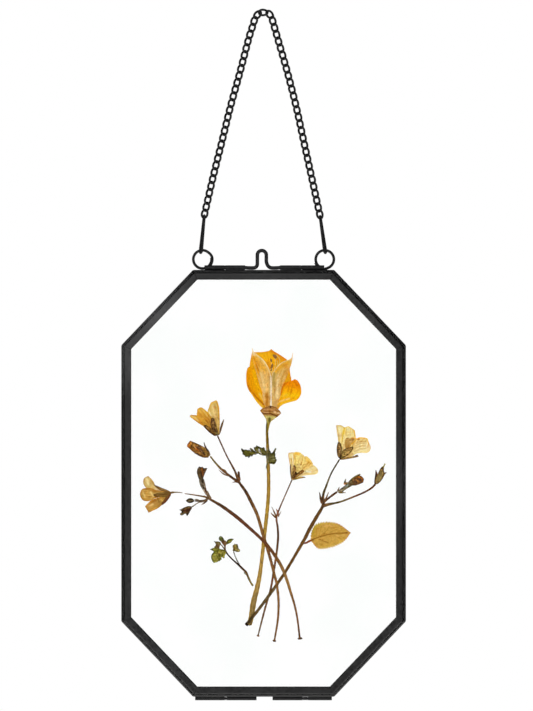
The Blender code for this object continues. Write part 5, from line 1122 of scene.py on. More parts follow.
right = {
    "view": (310, 415, 14),
    "petals": {"depth": layer(3), "sheets": [
        {"lift": -0.05, "tone": (251, 234, 170), "veins": (4, (228, 198, 116), 0.5), "rim": (6, (214, 176, 84), 0.8),
         "left": [(398, 560), (402, 460), (394, 370), (384, 290), (372, 210), (366, 144)],
         "tip": [(400, 141), (440, 146)], "right": [(430, 560), (446, 460), (456, 370), (470, 290), (484, 220), (490, 176)],
         "strokes": [([(370, 150), (382, 230)], 8, (206, 164, 76), 0.7), ([(410, 180), (424, 300)], 16, (252, 240, 184), 0.8),
                     ([(484, 176), (466, 250), (458, 330), (456, 380)], 12, (250, 200, 34), 0.95), ([(380, 150), (450, 156)], 7, (226, 186, 96), 0.7),
                     ([(404, 330), (410, 400)], 7, (222, 180, 96), 0.7), ([(430, 400), (436, 480)], 8, (212, 168, 84), 0.7),
                     ([(420, 480), (424, 540)], 8, (196, 150, 70), 0.7)]},
        {"lift": 0.0, "tone": (250, 231, 160), "veins": (5, (230, 196, 112), 0.5), "rim": (6, (242, 198, 76), 0.7),
         "left": [(416, 560), (436, 430), (446, 330), (460, 240), (484, 174)],
         "tip": [(520, 160), (548, 161), (580, 182), (606, 200)], "right": [(560, 500), (600, 420), (628, 360), (640, 310), (634, 260), (626, 214)],
         "strokes": [([(490, 190), (480, 260)], 12, (250, 214, 84), 0.8), ([(530, 190), (560, 280)], 24, (251, 238, 180), 0.6),
                     ([(612, 210), (628, 260), (636, 310)], 7, (234, 164, 30), 0.9), ([(500, 240), (600, 240)], 7, (244, 208, 110), 0.55),
                     ([(500, 280), (600, 276)], 7, (240, 206, 116), 0.55), ([(510, 200), (506, 300)], 5, (226, 186, 90), 0.5)]},
        {"lift": -0.02, "tone": (198, 154, 80), "veins": (4, (160, 112, 54), 0.55),
         "left": [(412, 600), (430, 500), (452, 400), (472, 336)], "tip": [(520, 318), (580, 312)],
         "right": [(600, 560), (630, 470), (640, 400), (650, 318)],
         "strokes": [([(474, 334), (520, 322), (570, 312)], 7, (136, 88, 34), 0.9), ([(580, 310), (620, 318), (650, 330)], 9, (244, 158, 22), 0.9),
                     ([(490, 342), (560, 330)], 5, (222, 178, 100), 0.7), ([(500, 380), (510, 430)], 16, (186, 140, 66), 0.75),
                     ([(560, 350), (640, 346)], 5, (140, 92, 44), 0.7), ([(560, 376), (620, 370)], 12, (226, 184, 116), 0.75),
                     ([(590, 400), (566, 440)], 9, (232, 178, 60), 0.8), ([(470, 380), (462, 440)], 5, (236, 206, 120), 0.7),
                     ([(456, 420), (448, 500)], 6, (110, 80, 40), 0.7), ([(440, 440), (436, 540)], 5, (232, 206, 124), 0.8),
                     ([(480, 430), (476, 480)], 7, (160, 120, 60), 0.7), ([(430, 520), (424, 580)], 5, (130, 96, 46), 0.7),
                     ([(540, 420), (530, 460)], 10, (170, 124, 60), 0.7), ([(450, 340), (452, 380)], 5, (226, 180, 80), 0.7),
                     ([(650, 350), (632, 420), (600, 520), (580, 560)], 30, (244, 210, 132), 0.95), ([(640, 352), (600, 392), (570, 436)], 11, (232, 170, 52), 0.85)]},
        {"lift": 0.02, "tone": (251, 234, 174), "veins": (8, (218, 172, 92), 0.6), "rim": (6, (244, 210, 124), 0.6),
         "left": [(440, 606), (520, 520), (580, 430), (630, 360), (655, 326), (700, 309)],
         "tip": [(758, 314), (804, 330), (820, 372)], "right": [(470, 612), (548, 596), (600, 572), (650, 542), (720, 528), (790, 530), (832, 508), (850, 462), (842, 424)],
         "strokes": [([(652, 330), (690, 312)], 13, (242, 140, 4), 0.95), ([(668, 344), (690, 336)], 6, (176, 92, 14), 0.9),
                     ([(700, 316), (800, 332)], 10, (250, 190, 62), 0.8), ([(640, 346), (610, 380), (600, 420)], 14, (238, 178, 66), 0.8),
                     ([(690, 360), (780, 360)], 9, (232, 184, 86), 0.6), ([(800, 345), (824, 400)], 8, (244, 190, 80), 0.7),
                     ([(760, 400), (820, 470)], 22, (250, 226, 164), 0.75), ([(830, 420), (846, 468), (826, 510)], 9, (248, 216, 160), 0.8),
                     ([(640, 400), (700, 372), (780, 372)], 5, (202, 150, 66), 0.65), ([(620, 440), (690, 400), (760, 392)], 5, (206, 156, 72), 0.6),
                     ([(610, 480), (690, 436), (770, 430)], 5, (206, 158, 76), 0.6), ([(620, 510), (700, 470), (780, 470)], 5, (212, 166, 86), 0.5),
                     ([(660, 525), (800, 515)], 12, (250, 226, 150), 0.7), ([(600, 520), (640, 540)], 14, (246, 228, 150), 0.8),
                     ([(540, 560), (600, 560)], 16, (238, 214, 130), 0.85), ([(580, 540), (592, 546)], 7, (200, 136, 84), 0.8),
                     ([(500, 596), (560, 584)], 10, (206, 172, 90), 0.8), ([(600, 450), (630, 430)], 8, (222, 172, 70), 0.7)]},
    ]},
    "sepals": {"depth": layer(2), "sheets": [
        {"tone": (146, 114, 64), "veins": (3, (98, 68, 36), 0.75), "rim": (6, (76, 50, 26), 0.9),
         "left": [(420, 618), (388, 580), (374, 520), (374, 450), (384, 400), (396, 372)],
         "right": [(424, 612), (430, 560), (440, 500), (442, 440), (426, 396), (406, 374)],
         "strokes": [([(396, 376), (402, 396)], 8, (62, 42, 22), 0.9), ([(412, 440), (414, 540)], 5, (176, 140, 84), 0.7),
                     ([(398, 440), (400, 540)], 4, (122, 82, 50), 0.7), ([(405, 590), (420, 612)], 8, (110, 84, 40), 0.7)]},
        {"lift": -0.04, "tone": (178, 142, 78), "veins": (4, (120, 92, 44), 0.6), "rim": (5, (78, 54, 24), 0.9),
         "left": [(418, 616), (430, 560), (450, 510), (490, 474), (550, 456), (598, 440)],
         "right": [(430, 616), (480, 594), (530, 560), (572, 520), (596, 488), (608, 456)],
         "strokes": [([(428, 590), (440, 540), (452, 512)], 7, (60, 50, 28), 0.9), ([(596, 448), (602, 480)], 7, (70, 44, 22), 0.9),
                     ([(500, 490), (560, 476)], 9, (150, 108, 60), 0.7), ([(470, 530), (500, 520)], 9, (112, 100, 46), 0.7),
                     ([(520, 520), (560, 500)], 7, (186, 150, 80), 0.75), ([(450, 570), (500, 550)], 8, (176, 146, 70), 0.7),
                     ([(470, 590), (530, 550)], 4, (120, 88, 40), 0.7), ([(440, 596), (460, 590)], 8, (96, 92, 44), 0.8)]},
        {"lift": 0.02, "tone": (160, 124, 60), "rim": (4, (96, 68, 34), 0.75), "left": [(412, 616), (470, 602), (540, 590), (610, 574), (664, 554)],
         "right": [(418, 628), (480, 624), (560, 610), (630, 596), (682, 582)],
         "strokes": [([(630, 582), (676, 568)], 8, (110, 80, 42), 0.9), ([(430, 612), (600, 592)], 3.5, (190, 150, 76), 0.6)]},
    ]},
    "bud": {"depth": layer(3), "sheets": [
        {"tone": (106, 74, 36), "thickness": 0.22 * mm, "veins": (5, (70, 44, 26), 0.7), "rim": (7, (72, 42, 22), 0.9),
         "left": [(540, 968), (590, 984), (640, 986), (698, 966), (744, 944)], "tip": [(754, 904), (742, 876)],
         "right": [(536, 946), (566, 910), (608, 876), (650, 850), (690, 842), (724, 858)],
         "strokes": [([(690, 856), (733, 880), (742, 926)], 10, (196, 104, 28), 0.9), ([(640, 872), (690, 866)], 12, (206, 120, 34), 0.85),
                     ([(618, 890), (628, 892)], 7, (90, 54, 30), 0.9), ([(656, 888), (664, 892)], 6, (96, 56, 30), 0.85),
                     ([(676, 884), (684, 888)], 5, (90, 50, 30), 0.8), ([(620, 920), (650, 950)], 13, (84, 62, 52), 0.85),
                     ([(700, 906), (712, 918)], 9, (66, 42, 44), 0.9), ([(600, 900), (610, 910)], 6, (196, 130, 60), 0.8),
                     ([(664, 916), (690, 940)], 9, (190, 116, 50), 0.8), ([(640, 966), (700, 956)], 8, (140, 96, 56), 0.75),
                     ([(580, 950), (600, 966)], 9, (120, 104, 66), 0.8), ([(548, 950), (575, 930)], 11, (130, 128, 90), 0.8),
                     ([(640, 906), (650, 912)], 5, (206, 140, 70), 0.75), ([(722, 890), (730, 900)], 5, (206, 120, 50), 0.7)]},
        {"lift": -0.06, "tone": (104, 92, 50), "left": [(520, 960), (560, 908), (610, 864), (660, 836), (704, 820)],
         "right": [(532, 968), (576, 926), (618, 888), (664, 858), (710, 834)],
         "strokes": [([(540, 945), (600, 890), (680, 846)], 5, (66, 52, 28), 0.8), ([(570, 905), (650, 848)], 4, (134, 124, 70), 0.7)]},
        {"lift": 0.02, "tone": (120, 108, 82), "veins": (2, (70, 58, 42), 0.6), "rim": (5, (60, 52, 34), 0.75),
         "left": [(440, 1092), (462, 1074), (495, 1046), (545, 1016), (606, 982)],
         "right": [(376, 1072), (436, 1024), (494, 982), (518, 956), (545, 932)],
         # The pale grey-green strokes on this neck are painted highlights
         "strokes": [([(440, 1032), (500, 984)], 7, (48, 42, 38), 0.9), ([(400, 1070), (440, 1050)], 9, (206, 190, 160), 0.8),
                     ([(500, 1000), (530, 985)], 8, (160, 172, 160), 0.85), ([(470, 1040), (520, 1014)], 7, (176, 160, 120), 0.7),
                     ([(540, 1000), (580, 985)], 7, (104, 104, 60), 0.75), ([(430, 1074), (450, 1070)], 5, (120, 80, 50), 0.7),
                     ([(530, 962), (556, 958)], 7, (150, 160, 146), 0.8), ([(470, 1010), (485, 1006)], 4, (190, 184, 166), 0.7)]},
    ], "stalks": [
        ([(484, 978), (490, 930), (505, 890)], [1.1, 0.8, 0.25], [((150, 92, 44), (190, 116, 54), (150, 92, 44)), "moss", "moss"]),
        ([(488, 976), (512, 948), (530, 940)], [0.7, 0.7, 0.3], ["tan"]),
        ([(386, 1064), (400, 1034), (413, 1004)], [0.8, 0.6, 0.2], ["grey"]),
        ([(392, 1084), (440, 1088), (508, 1087)], [0.9, 0.55, 0.2], ["green", "moss"]),
    ]},
    "farBud": {"depth": layer(3), "sheets": [
        {"tone": (150, 126, 72), "thickness": 0.22 * mm, "veins": (4, (78, 58, 34), 0.9), "rim": (7, (78, 50, 24), 0.9),
         "left": [(900, 962), (912, 900), (950, 820), (978, 760), (1000, 728)], "tip": [(1014, 720), (1030, 726)],
         "right": [(940, 972), (990, 930), (1020, 880), (1040, 820), (1034, 770), (1037, 736)],
         "strokes": [([(928, 900), (960, 820), (990, 770)], 6, (178, 152, 84), 0.8), ([(1020, 800), (1000, 870), (960, 940)], 6, (176, 148, 80), 0.8),
                     ([(990, 800), (950, 920)], 6, (112, 98, 60), 0.7), ([(1010, 740), (1024, 790)], 12, (120, 80, 44), 0.75),
                     ([(1034, 780), (1040, 830)], 7, (72, 46, 26), 0.8), ([(905, 950), (945, 966)], 8, (104, 72, 36), 0.8),
                     ([(925, 955), (945, 950)], 5, (190, 150, 90), 0.7), ([(970, 860), (950, 900)], 4, (160, 140, 90), 0.6)]},
        {"lift": -0.05, "tone": (92, 62, 38), "left": [(898, 956), (902, 900), (911, 840), (917, 768)], "right": [(924, 950), (940, 890), (950, 840), (924, 768)],
         "strokes": [([(918, 776), (918, 850), (904, 940)], 6, (56, 38, 30), 0.85), ([(938, 850), (922, 930)], 5, (160, 126, 66), 0.75),
                     ([(930, 810), (944, 846)], 6, (84, 40, 28), 0.7)]},
        {"lift": -0.05, "tone": (96, 66, 32), "left": [(1010, 900), (1030, 850), (1042, 806), (1071, 802)], "right": [(1024, 880), (1050, 830), (1074, 806)],
         "strokes": [([(1034, 812), (1068, 806)], 5, (60, 40, 24), 0.8)]},
    ], "stalks": [
        ([(1022, 740), (1036, 710), (1048, 688)], [0.9, 0.6, 0.5], [((140, 126, 70), (184, 172, 112), (140, 126, 70))]),
        ([(1046, 692), (1051, 680)], [0.9, 1.1], [((170, 156, 80), (190, 176, 100), (166, 150, 74))]),
    ]},
    "stem": {"view": wholeView, "depth": layer(3), "stalks": [
        ([(339.6, 459.2), (331.4, 473), (326.4, 485.5), (323.1, 495.4), (323.1, 505), (316.3, 517.3), (309.9, 528.4),
          (304.7, 538.8), (297.6, 551.1), (292.2, 560.4), (285.6, 571.4), (278.9, 581.4), (272.4, 590.7), (265, 600.8),
          (256.7, 611.9), (246.5, 624.4)],
         [0.66, 0.66, 1.2, 1.6, 1.55, 1.3, 1.3, 1.38, 1.3, 1.35],
         ["deep", "deep", "moss", "node", "oak", "oak", "oak", "oak", "oak", "oak", "drab", "drab", "drab", ((50, 40, 22), (80, 64, 38), (52, 42, 24))]),
        ([(375.7, 484.0), (370.9, 488.4), (363.5, 492.6), (353, 497), (340.5, 501.7), (329.7, 504.1), (322.8, 505.8)],
         [0.95, 0.8, 0.8, 0.8, 0.9, 1.7], ["umber", "umber", "red", "green", "moss", "brown"]),
        ([(337.4, 491.6), (330.5, 496.6), (323, 502.6)], [1.0, 0.9, 1.0], ["dark", "dark", "dark"]),
        ([(322.2, 504), (320.6, 498), (319.4, 492.0)], [1.3, 1.0, 0.25], ["brown", "dark", "dark"]),
        ([(324.2, 503), (326.6, 497.0), (328.8, 491.6)], [1.0, 0.7, 0.2], ["brown", "tan"]),
        ([(323.0, 502), (323.4, 498.0), (324.2, 494.4)], [1.0, 0.8, 0.4], ["brown", "tan"]),
        ([(247.8, 623.2), (245.8, 625.3)], [1.4, 1.75], [((16, 12, 8), (36, 26, 18), (18, 14, 8))]),
    ]},
}

# The mustard leaf, with a fine saw edge
mustardLeaf = {
    "view": (297, 512, 18), "depth": layer(4),
    "sheet": {
        "tone": (208, 164, 72), "thickness": 0.14 * mm, "ripple": 0.04 * mm, "teeth": (21, 1.15 * mm),
        "left": [(246, 512), (250, 440), (262, 362), (282, 292), (322, 232), (378, 204), (430, 188), (500, 180), (560, 182),
                 (620, 186), (700, 200), (760, 224), (820, 260), (880, 306), (930, 344), (966, 370)],
        "right": [(246, 526), (280, 550), (320, 598), (360, 646), (405, 664), (470, 666), (550, 654), (640, 630), (720, 598),
                  (800, 560), (850, 520), (900, 466), (940, 410), (966, 374)],
        "strokes": [
            ([(275, 380), (300, 290), (350, 225), (420, 200)], 26, (186, 168, 44), 0.8), ([(420, 195), (560, 186), (660, 196)], 12, (198, 172, 62), 0.7),
            ([(250, 440), (262, 362), (282, 292)], 8, (158, 130, 30), 0.7), ([(700, 200), (820, 260), (960, 368)], 10, (190, 126, 50), 0.8),
            ([(870, 400), (935, 390)], 26, (214, 158, 78), 0.7), ([(962, 374), (900, 466), (830, 540)], 9, (186, 124, 46), 0.8),
            ([(400, 650), (560, 640), (720, 585), (840, 520)], 20, (220, 184, 80), 0.8), ([(560, 480), (680, 490)], 50, (206, 164, 76), 0.6),
            ([(300, 560), (380, 640)], 10, (206, 146, 66), 0.7), ([(300, 330), (300, 440)], 26, (184, 144, 44), 0.6),
            ([(480, 250), (560, 240), (640, 250)], 22, (222, 172, 92), 0.6), ([(700, 420), (860, 420)], 24, (220, 176, 90), 0.6),
            ([(245, 512), (300, 486), (400, 450), (500, 420), (620, 395), (740, 381), (850, 378), (900, 373)], 7, (136, 84, 18), 0.95),
            ([(400, 490), (480, 525), (555, 552)], 6, (150, 98, 30), 0.85), ([(440, 436), (540, 330), (580, 260)], 5, (176, 126, 44), 0.6),
            ([(340, 466), (350, 380), (350, 280)], 5, (168, 124, 36), 0.6), ([(380, 455), (420, 350), (440, 260)], 5, (172, 126, 40), 0.5),
            ([(560, 400), (640, 340), (720, 310)], 5, (178, 130, 50), 0.6), ([(680, 390), (800, 320)], 5, (184, 136, 56), 0.5),
            ([(620, 400), (760, 470), (820, 510)], 5, (182, 134, 54), 0.5), ([(500, 424), (600, 500), (680, 560)], 5, (184, 136, 56), 0.5),
            ([(893, 372), (895, 374)], 10, (110, 66, 24), 0.9), ([(620, 290), (700, 270)], 6, (186, 134, 60), 0.5),
            ([(250, 515), (290, 500)], 12, (110, 62, 20), 0.8),
        ]},
    "petiole": ([(118, 566), (170, 554), (210, 530), (266, 502)], [0.85, 0.85, 1.0, 0.85],
                [((96, 36, 12), (140, 66, 30), (96, 36, 12)), ((120, 48, 8), (164, 82, 24), (120, 50, 8))]),
}

# The green leaf behind the big stem, and the green sprig
leafGreen, leafDark, leafLight, leafBrown = (88, 84, 26), (46, 44, 14), (136, 132, 56), (112, 84, 46)
stemLeaf = {
    "view": (236, 444, 22),
    "leaf": {"depth": layer(3) - 0.02 * mm, "sheets": [
        {"tone": (96, 92, 30), "veins": (4, (40, 38, 10), 0.7), "rim": (7, (34, 32, 8), 0.8), "teeth": (5, 1.0 * mm),
         "left": [(480, 216), (420, 232), (350, 264), (300, 290), (250, 294), (205, 274), (160, 238), (138, 212)],
         "tip": [(150, 186), (124, 158), (110, 98)], "right": [(492, 170), (440, 182), (390, 166), (345, 152), (300, 140), (250, 122), (190, 134), (134, 104)],
         "strokes": [([(165, 165), (222, 212)], 7, (26, 24, 4), 0.85), ([(222, 146), (290, 204)], 7, (30, 28, 6), 0.85), ([(268, 170), (322, 262)], 8, (28, 26, 4), 0.85),
                     ([(192, 156), (256, 204)], 5, (156, 150, 66), 0.8), ([(182, 236), (250, 232)], 5, (146, 140, 60), 0.8), ([(330, 190), (350, 236)], 6, (40, 36, 10), 0.8),
                     ([(120, 105), (145, 165)], 10, (46, 40, 14), 0.85), ([(260, 262), (320, 282)], 12, (30, 28, 6), 0.9),
                     ([(170, 190), (240, 170), (320, 190)], 12, (120, 114, 42), 0.75), ([(310, 250), (400, 222), (470, 202)], 8, (56, 48, 16), 0.85),
                     ([(300, 175), (350, 210), (420, 205)], 9, (150, 142, 66), 0.8), ([(250, 134), (340, 172)], 8, (40, 36, 12), 0.8),
                     ([(200, 210), (280, 215)], 7, (140, 132, 50), 0.7), ([(180, 220), (230, 240)], 6, (36, 34, 10), 0.8),
                     ([(160, 150), (190, 160)], 6, (36, 34, 10), 0.7), ([(420, 214), (450, 196)], 7, (120, 104, 80), 0.7)]},
        {"tone": (52, 46, 18), "left": [(440, 198), (386, 196), (332, 160), (302, 98)], "right": [(430, 160), (402, 146), (366, 112), (322, 84)],
         "strokes": [([(330, 110), (400, 170)], 5, (96, 90, 44), 0.6)]},
        {"lift": 0.02, "tone": (98, 92, 36), "veins": (2, (50, 48, 16), 0.7), "rim": (7, (42, 38, 12), 0.8), "left": [(470, 196), (420, 150), (394, 108), (394, 68)], "tip": [(420, 70), (436, 62), (446, 30)],
         "right": [(520, 190), (500, 120), (500, 80), (470, 44), (452, 28)],
         "strokes": [([(405, 80), (430, 150)], 8, (60, 56, 18), 0.75), ([(430, 90), (450, 140)], 9, (134, 126, 76), 0.7), ([(440, 150), (480, 190)], 8, (120, 106, 90), 0.7)]},
        {"lift": -0.02, "tone": (96, 90, 34), "veins": (3, (46, 44, 14), 0.7), "rim": (7, (40, 36, 12), 0.8), "left": [(590, 248), (560, 190), (520, 130), (490, 80), (462, 36)], "tip": [(520, 62), (560, 82), (586, 80), (606, 66)],
         "right": [(660, 262), (670, 200), (656, 150), (640, 120), (630, 86)],
         "strokes": [([(480, 56), (560, 88), (620, 92)], 8, (50, 48, 14), 0.85), ([(560, 140), (600, 190)], 11, (124, 116, 56), 0.7), ([(600, 246), (650, 250)], 9, (44, 40, 16), 0.85),
                     ([(610, 150), (630, 200)], 8, (132, 126, 90), 0.7)]},
        {"lift": -0.04, "tone": (92, 88, 38), "left": [(610, 262), (560, 246), (505, 222), (462, 186)], "right": [(600, 206), (568, 180), (524, 148), (484, 112)],
         "strokes": [([(488, 138), (530, 184), (572, 228)], 9, (238, 230, 214), 0.95), ([(500, 208), (570, 246)], 6, (60, 56, 22), 0.7)]},
        {"lift": -0.03, "tone": (116, 112, 80), "left": [(660, 300), (652, 220), (660, 160), (668, 110)], "tip": [(690, 90), (710, 86)], "base": [(690, 400), (716, 410)],
         "right": [(742, 330), (744, 260), (730, 200), (728, 110)],
         "strokes": [([(690, 110), (690, 200)], 9, (150, 120, 60), 0.7), ([(670, 130), (668, 240)], 6, (84, 74, 36), 0.8), ([(710, 120), (716, 220)], 6, (70, 64, 28), 0.8),
                     ([(700, 330), (720, 370)], 15, (156, 146, 122), 0.85), ([(680, 230), (710, 260)], 9, (60, 56, 26), 0.7), ([(690, 290), (730, 290)], 8, (140, 134, 100), 0.7),
                     ([(694, 390), (712, 400)], 8, (150, 112, 60), 0.7)]},
        {"lift": -0.02, "tone": (98, 94, 42), "veins": (4, (52, 50, 18), 0.7), "rim": (8, (44, 42, 14), 0.85), "teeth": (4, 1.1 * mm), "left": [(690, 320), (712, 250), (700, 200), (690, 160)],
         "right": [(902, 341), (870, 306), (872, 258), (838, 208), (800, 204), (740, 150)],
         "base": [(700, 376), (734, 420), (756, 438), (792, 430), (822, 450), (868, 420), (890, 368)], "tip": [(706, 140), (722, 130)],
         "strokes": [([(780, 240), (840, 250)], 8, (50, 48, 18), 0.85), ([(770, 320), (850, 320)], 6, (50, 48, 20), 0.8), ([(810, 400), (860, 376)], 6, (44, 44, 14), 0.8),
                     ([(810, 270), (830, 290)], 8, (160, 154, 96), 0.8), ([(750, 370), (780, 390)], 7, (150, 146, 80), 0.8), ([(830, 345), (850, 350)], 7, (160, 154, 104), 0.8),
                     ([(770, 206), (800, 224)], 12, (46, 44, 14), 0.8), ([(760, 290), (800, 280)], 14, (134, 128, 84), 0.75), ([(790, 340), (830, 330)], 12, (146, 140, 100), 0.75),
                     ([(740, 410), (830, 428)], 9, (84, 80, 14), 0.85), ([(850, 250), (858, 300)], 7, (60, 56, 20), 0.7), ([(800, 370), (850, 390)], 9, (132, 126, 60), 0.7),
                     ([(740, 240), (750, 270)], 8, (120, 100, 90), 0.6), ([(880, 340), (896, 346)], 6, (90, 84, 40), 0.8), ([(724, 350), (740, 390)], 7, (70, 66, 24), 0.7)]},
        {"tone": (50, 48, 18), "left": [(768, 226), (800, 188), (834, 134), (864, 86)], "right": [(862, 232), (862, 184), (876, 140), (890, 96)],
         "strokes": [([(868, 104), (840, 160)], 6, (110, 106, 60), 0.7)]},
        {"tone": (70, 68, 30), "left": [(730, 190), (724, 150), (724, 116)], "right": [(764, 194), (748, 150), (734, 114)]},
        {"lift": -0.01, "tone": (116, 110, 76), "left": [(688, 390), (668, 440), (658, 500), (655, 544)], "right": [(716, 396), (700, 450), (676, 506), (662, 546)],
         "strokes": [([(700, 400), (664, 530)], 6, (80, 74, 46), 0.7)]},
    ]},
}

sprig = {
    "view": (203, 525, 16),
    "bigLeaf": {"depth": layer(2), "sheets": [
        {"tone": (150, 144, 60), "veins": (6, (96, 98, 26), 0.65), "rim": (6, (86, 92, 22), 0.8), "teeth": (6, 0.4 * mm), "thickness": 0.14 * mm,
         "left": [(350, 440), (304, 512), (286, 560), (232, 590), (172, 606)], "tip": [(146, 572), (130, 516), (140, 470)],
         "right": [(366, 414), (330, 392), (280, 382), (220, 384), (170, 432)],
         "strokes": [([(180, 440), (240, 400), (330, 400)], 9, (92, 90, 26), 0.75), ([(190, 500), (260, 470), (320, 430)], 20, (150, 144, 70), 0.7),
                     ([(350, 425), (260, 490), (180, 575)], 5, (92, 88, 28), 0.8), ([(270, 470), (262, 540)], 5, (96, 92, 30), 0.75),
                     ([(230, 430), (220, 500)], 5, (96, 92, 32), 0.7), ([(200, 540), (210, 550)], 8, (150, 120, 70), 0.75),
                     ([(240, 450), (250, 456)], 8, (146, 110, 64), 0.7), ([(170, 500), (176, 512)], 7, (146, 124, 66), 0.7),
                     ([(290, 430), (300, 440)], 6, (150, 116, 60), 0.7), ([(220, 570), (240, 574)], 6, (150, 128, 66), 0.7),
                     ([(310, 410), (350, 426)], 8, (108, 80, 40), 0.6)]},
        {"lift": 0.02, "tone": (124, 120, 42), "rim": (6, (82, 82, 24), 0.8), "left": [(190, 440), (150, 410), (112, 393)], "right": [(262, 388), (190, 360), (118, 383)],
         "strokes": [([(130, 392), (190, 384)], 7, (150, 144, 60), 0.7), ([(150, 402), (180, 430)], 7, (72, 72, 24), 0.7)]},
        {"lift": -0.03, "tone": (152, 142, 54), "rim": (4, (96, 96, 30), 0.7), "left": [(330, 420), (320, 470), (308, 512), (336, 536)], "right": [(374, 430), (364, 460), (348, 490), (346, 522)],
         "strokes": [([(330, 460), (336, 500)], 6, (134, 126, 56), 0.6)]},
    ]},
    "upperLeaves": {"depth": layer(2), "sheets": [
        {"tone": (104, 108, 52), "veins": (3, (64, 72, 26), 0.7), "rim": (8, (58, 64, 22), 0.85), "left": [(304, 276), (266, 248), (252, 222), (256, 196)], "tip": [(272, 180), (290, 178)], "right": [(344, 262), (340, 236), (326, 208), (308, 186)],
         "strokes": [([(278, 200), (300, 240)], 9, (130, 134, 76), 0.7), ([(305, 245), (330, 262)], 8, (100, 70, 44), 0.7)]},
        {"lift": 0.02, "tone": (126, 106, 62), "veins": (4, (78, 58, 34), 0.7), "rim": (7, (82, 68, 34), 0.75), "left": [(178, 384), (180, 350), (204, 320), (196, 290), (172, 252)], "tip": [(206, 262), (240, 262)],
         "right": [(262, 392), (266, 350), (276, 320), (290, 300), (272, 268)],
         "strokes": [([(176, 256), (230, 272)], 7, (86, 92, 34), 0.8), ([(196, 330), (230, 340)], 12, (96, 62, 38), 0.8), ([(225, 295), (255, 300)], 8, (156, 136, 88), 0.75),
                     ([(200, 365), (250, 372)], 9, (110, 100, 44), 0.75), ([(240, 320), (262, 340)], 7, (96, 62, 42), 0.7), ([(250, 280), (270, 290)], 7, (130, 124, 70), 0.6)]},
        {"lift": -0.02, "tone": (112, 82, 52), "veins": (3, (70, 46, 32), 0.7), "rim": (6, (74, 50, 32), 0.7), "left": [(340, 340), (312, 304), (286, 262)], "tip": [(320, 246), (350, 244)], "right": [(364, 340), (378, 300), (378, 266)],
         "strokes": [([(300, 272), (340, 262)], 8, (76, 48, 34), 0.8), ([(335, 295), (352, 312)], 7, (146, 106, 68), 0.8), ([(350, 262), (366, 280)], 6, (140, 116, 80), 0.6)]},
        {"tone": (112, 110, 38), "veins": (2, (76, 82, 22), 0.7), "rim": (7, (74, 80, 20), 0.8), "left": [(366, 312), (376, 268), (398, 232), (440, 217), (488, 220)], "right": [(380, 310), (412, 298), (444, 282), (466, 254), (492, 228)],
         "strokes": [([(400, 270), (450, 246)], 7, (140, 132, 56), 0.7), ([(376, 290), (400, 288)], 9, (104, 80, 44), 0.8)]},
    ]},
    "calyx": {"depth": layer(2), "sheets": [
        {"tone": (140, 122, 54), "veins": (3, (88, 70, 30), 0.8), "rim": (7, (88, 76, 30), 0.8), "left": [(478, 416), (480, 370), (472, 338), (482, 316)], "tip": [(498, 314), (508, 294), (524, 308), (546, 300)], "right": [(522, 420), (548, 400), (566, 360), (556, 316)],
         "strokes": [([(500, 340), (506, 380)], 8, (110, 76, 34), 0.8), ([(520, 330), (530, 360)], 7, (172, 156, 84), 0.75), ([(486, 390), (500, 400)], 6, (92, 60, 30), 0.75)]},
        {"lift": -0.02, "tone": (158, 144, 78), "rim": (6, (104, 90, 40), 0.75), "left": [(508, 404), (524, 426), (556, 432), (584, 428)], "right": [(536, 372), (562, 368), (584, 388), (596, 406)],
         "strokes": [([(540, 395), (565, 400)], 8, (196, 180, 120), 0.8), ([(530, 410), (550, 418)], 5, (120, 90, 44), 0.7)]},
    ], "stalks": [([(484, 414), (490, 402), (500, 388)], [0.7, 0.8, 0.4], ["deep"])]},
    "stem": {"view": (203, 525, 16), "depth": layer(3), "stalks": [
        ([(804, 978), (770, 930), (730, 850), (700, 780), (680, 745), (560, 630), (440, 520), (365, 425), (352, 360), (350, 310)],
         [0.85, 0.85, 0.95, 1.0, 0.95, 0.75, 0.66, 0.66, 0.75, 0.6], [((120, 104, 36), (160, 142, 66), (120, 104, 38)), "green", "dark", "bark", "bark", "bark", "green"]),
        ([(592, 642), (552, 580), (512, 492), (488, 416)], [0.5, 0.46, 0.42, 0.5], ["slate"]),
        ([(366, 420), (330, 368), (296, 322), (268, 308)], [0.7, 0.55, 0.5, 0.35], ["umber", "slate"]),
        ([(690, 784), (668, 770), (652, 774)], [0.9, 0.8, 0.9], [((130, 124, 100), (160, 160, 138), (130, 126, 100)), ((104, 118, 100), (150, 166, 150), (104, 118, 100))]),
        ([(676, 738), (690, 770), (700, 800)], [1.1, 1.2, 0.9], ["dark", "tan"]),
    ]},
}


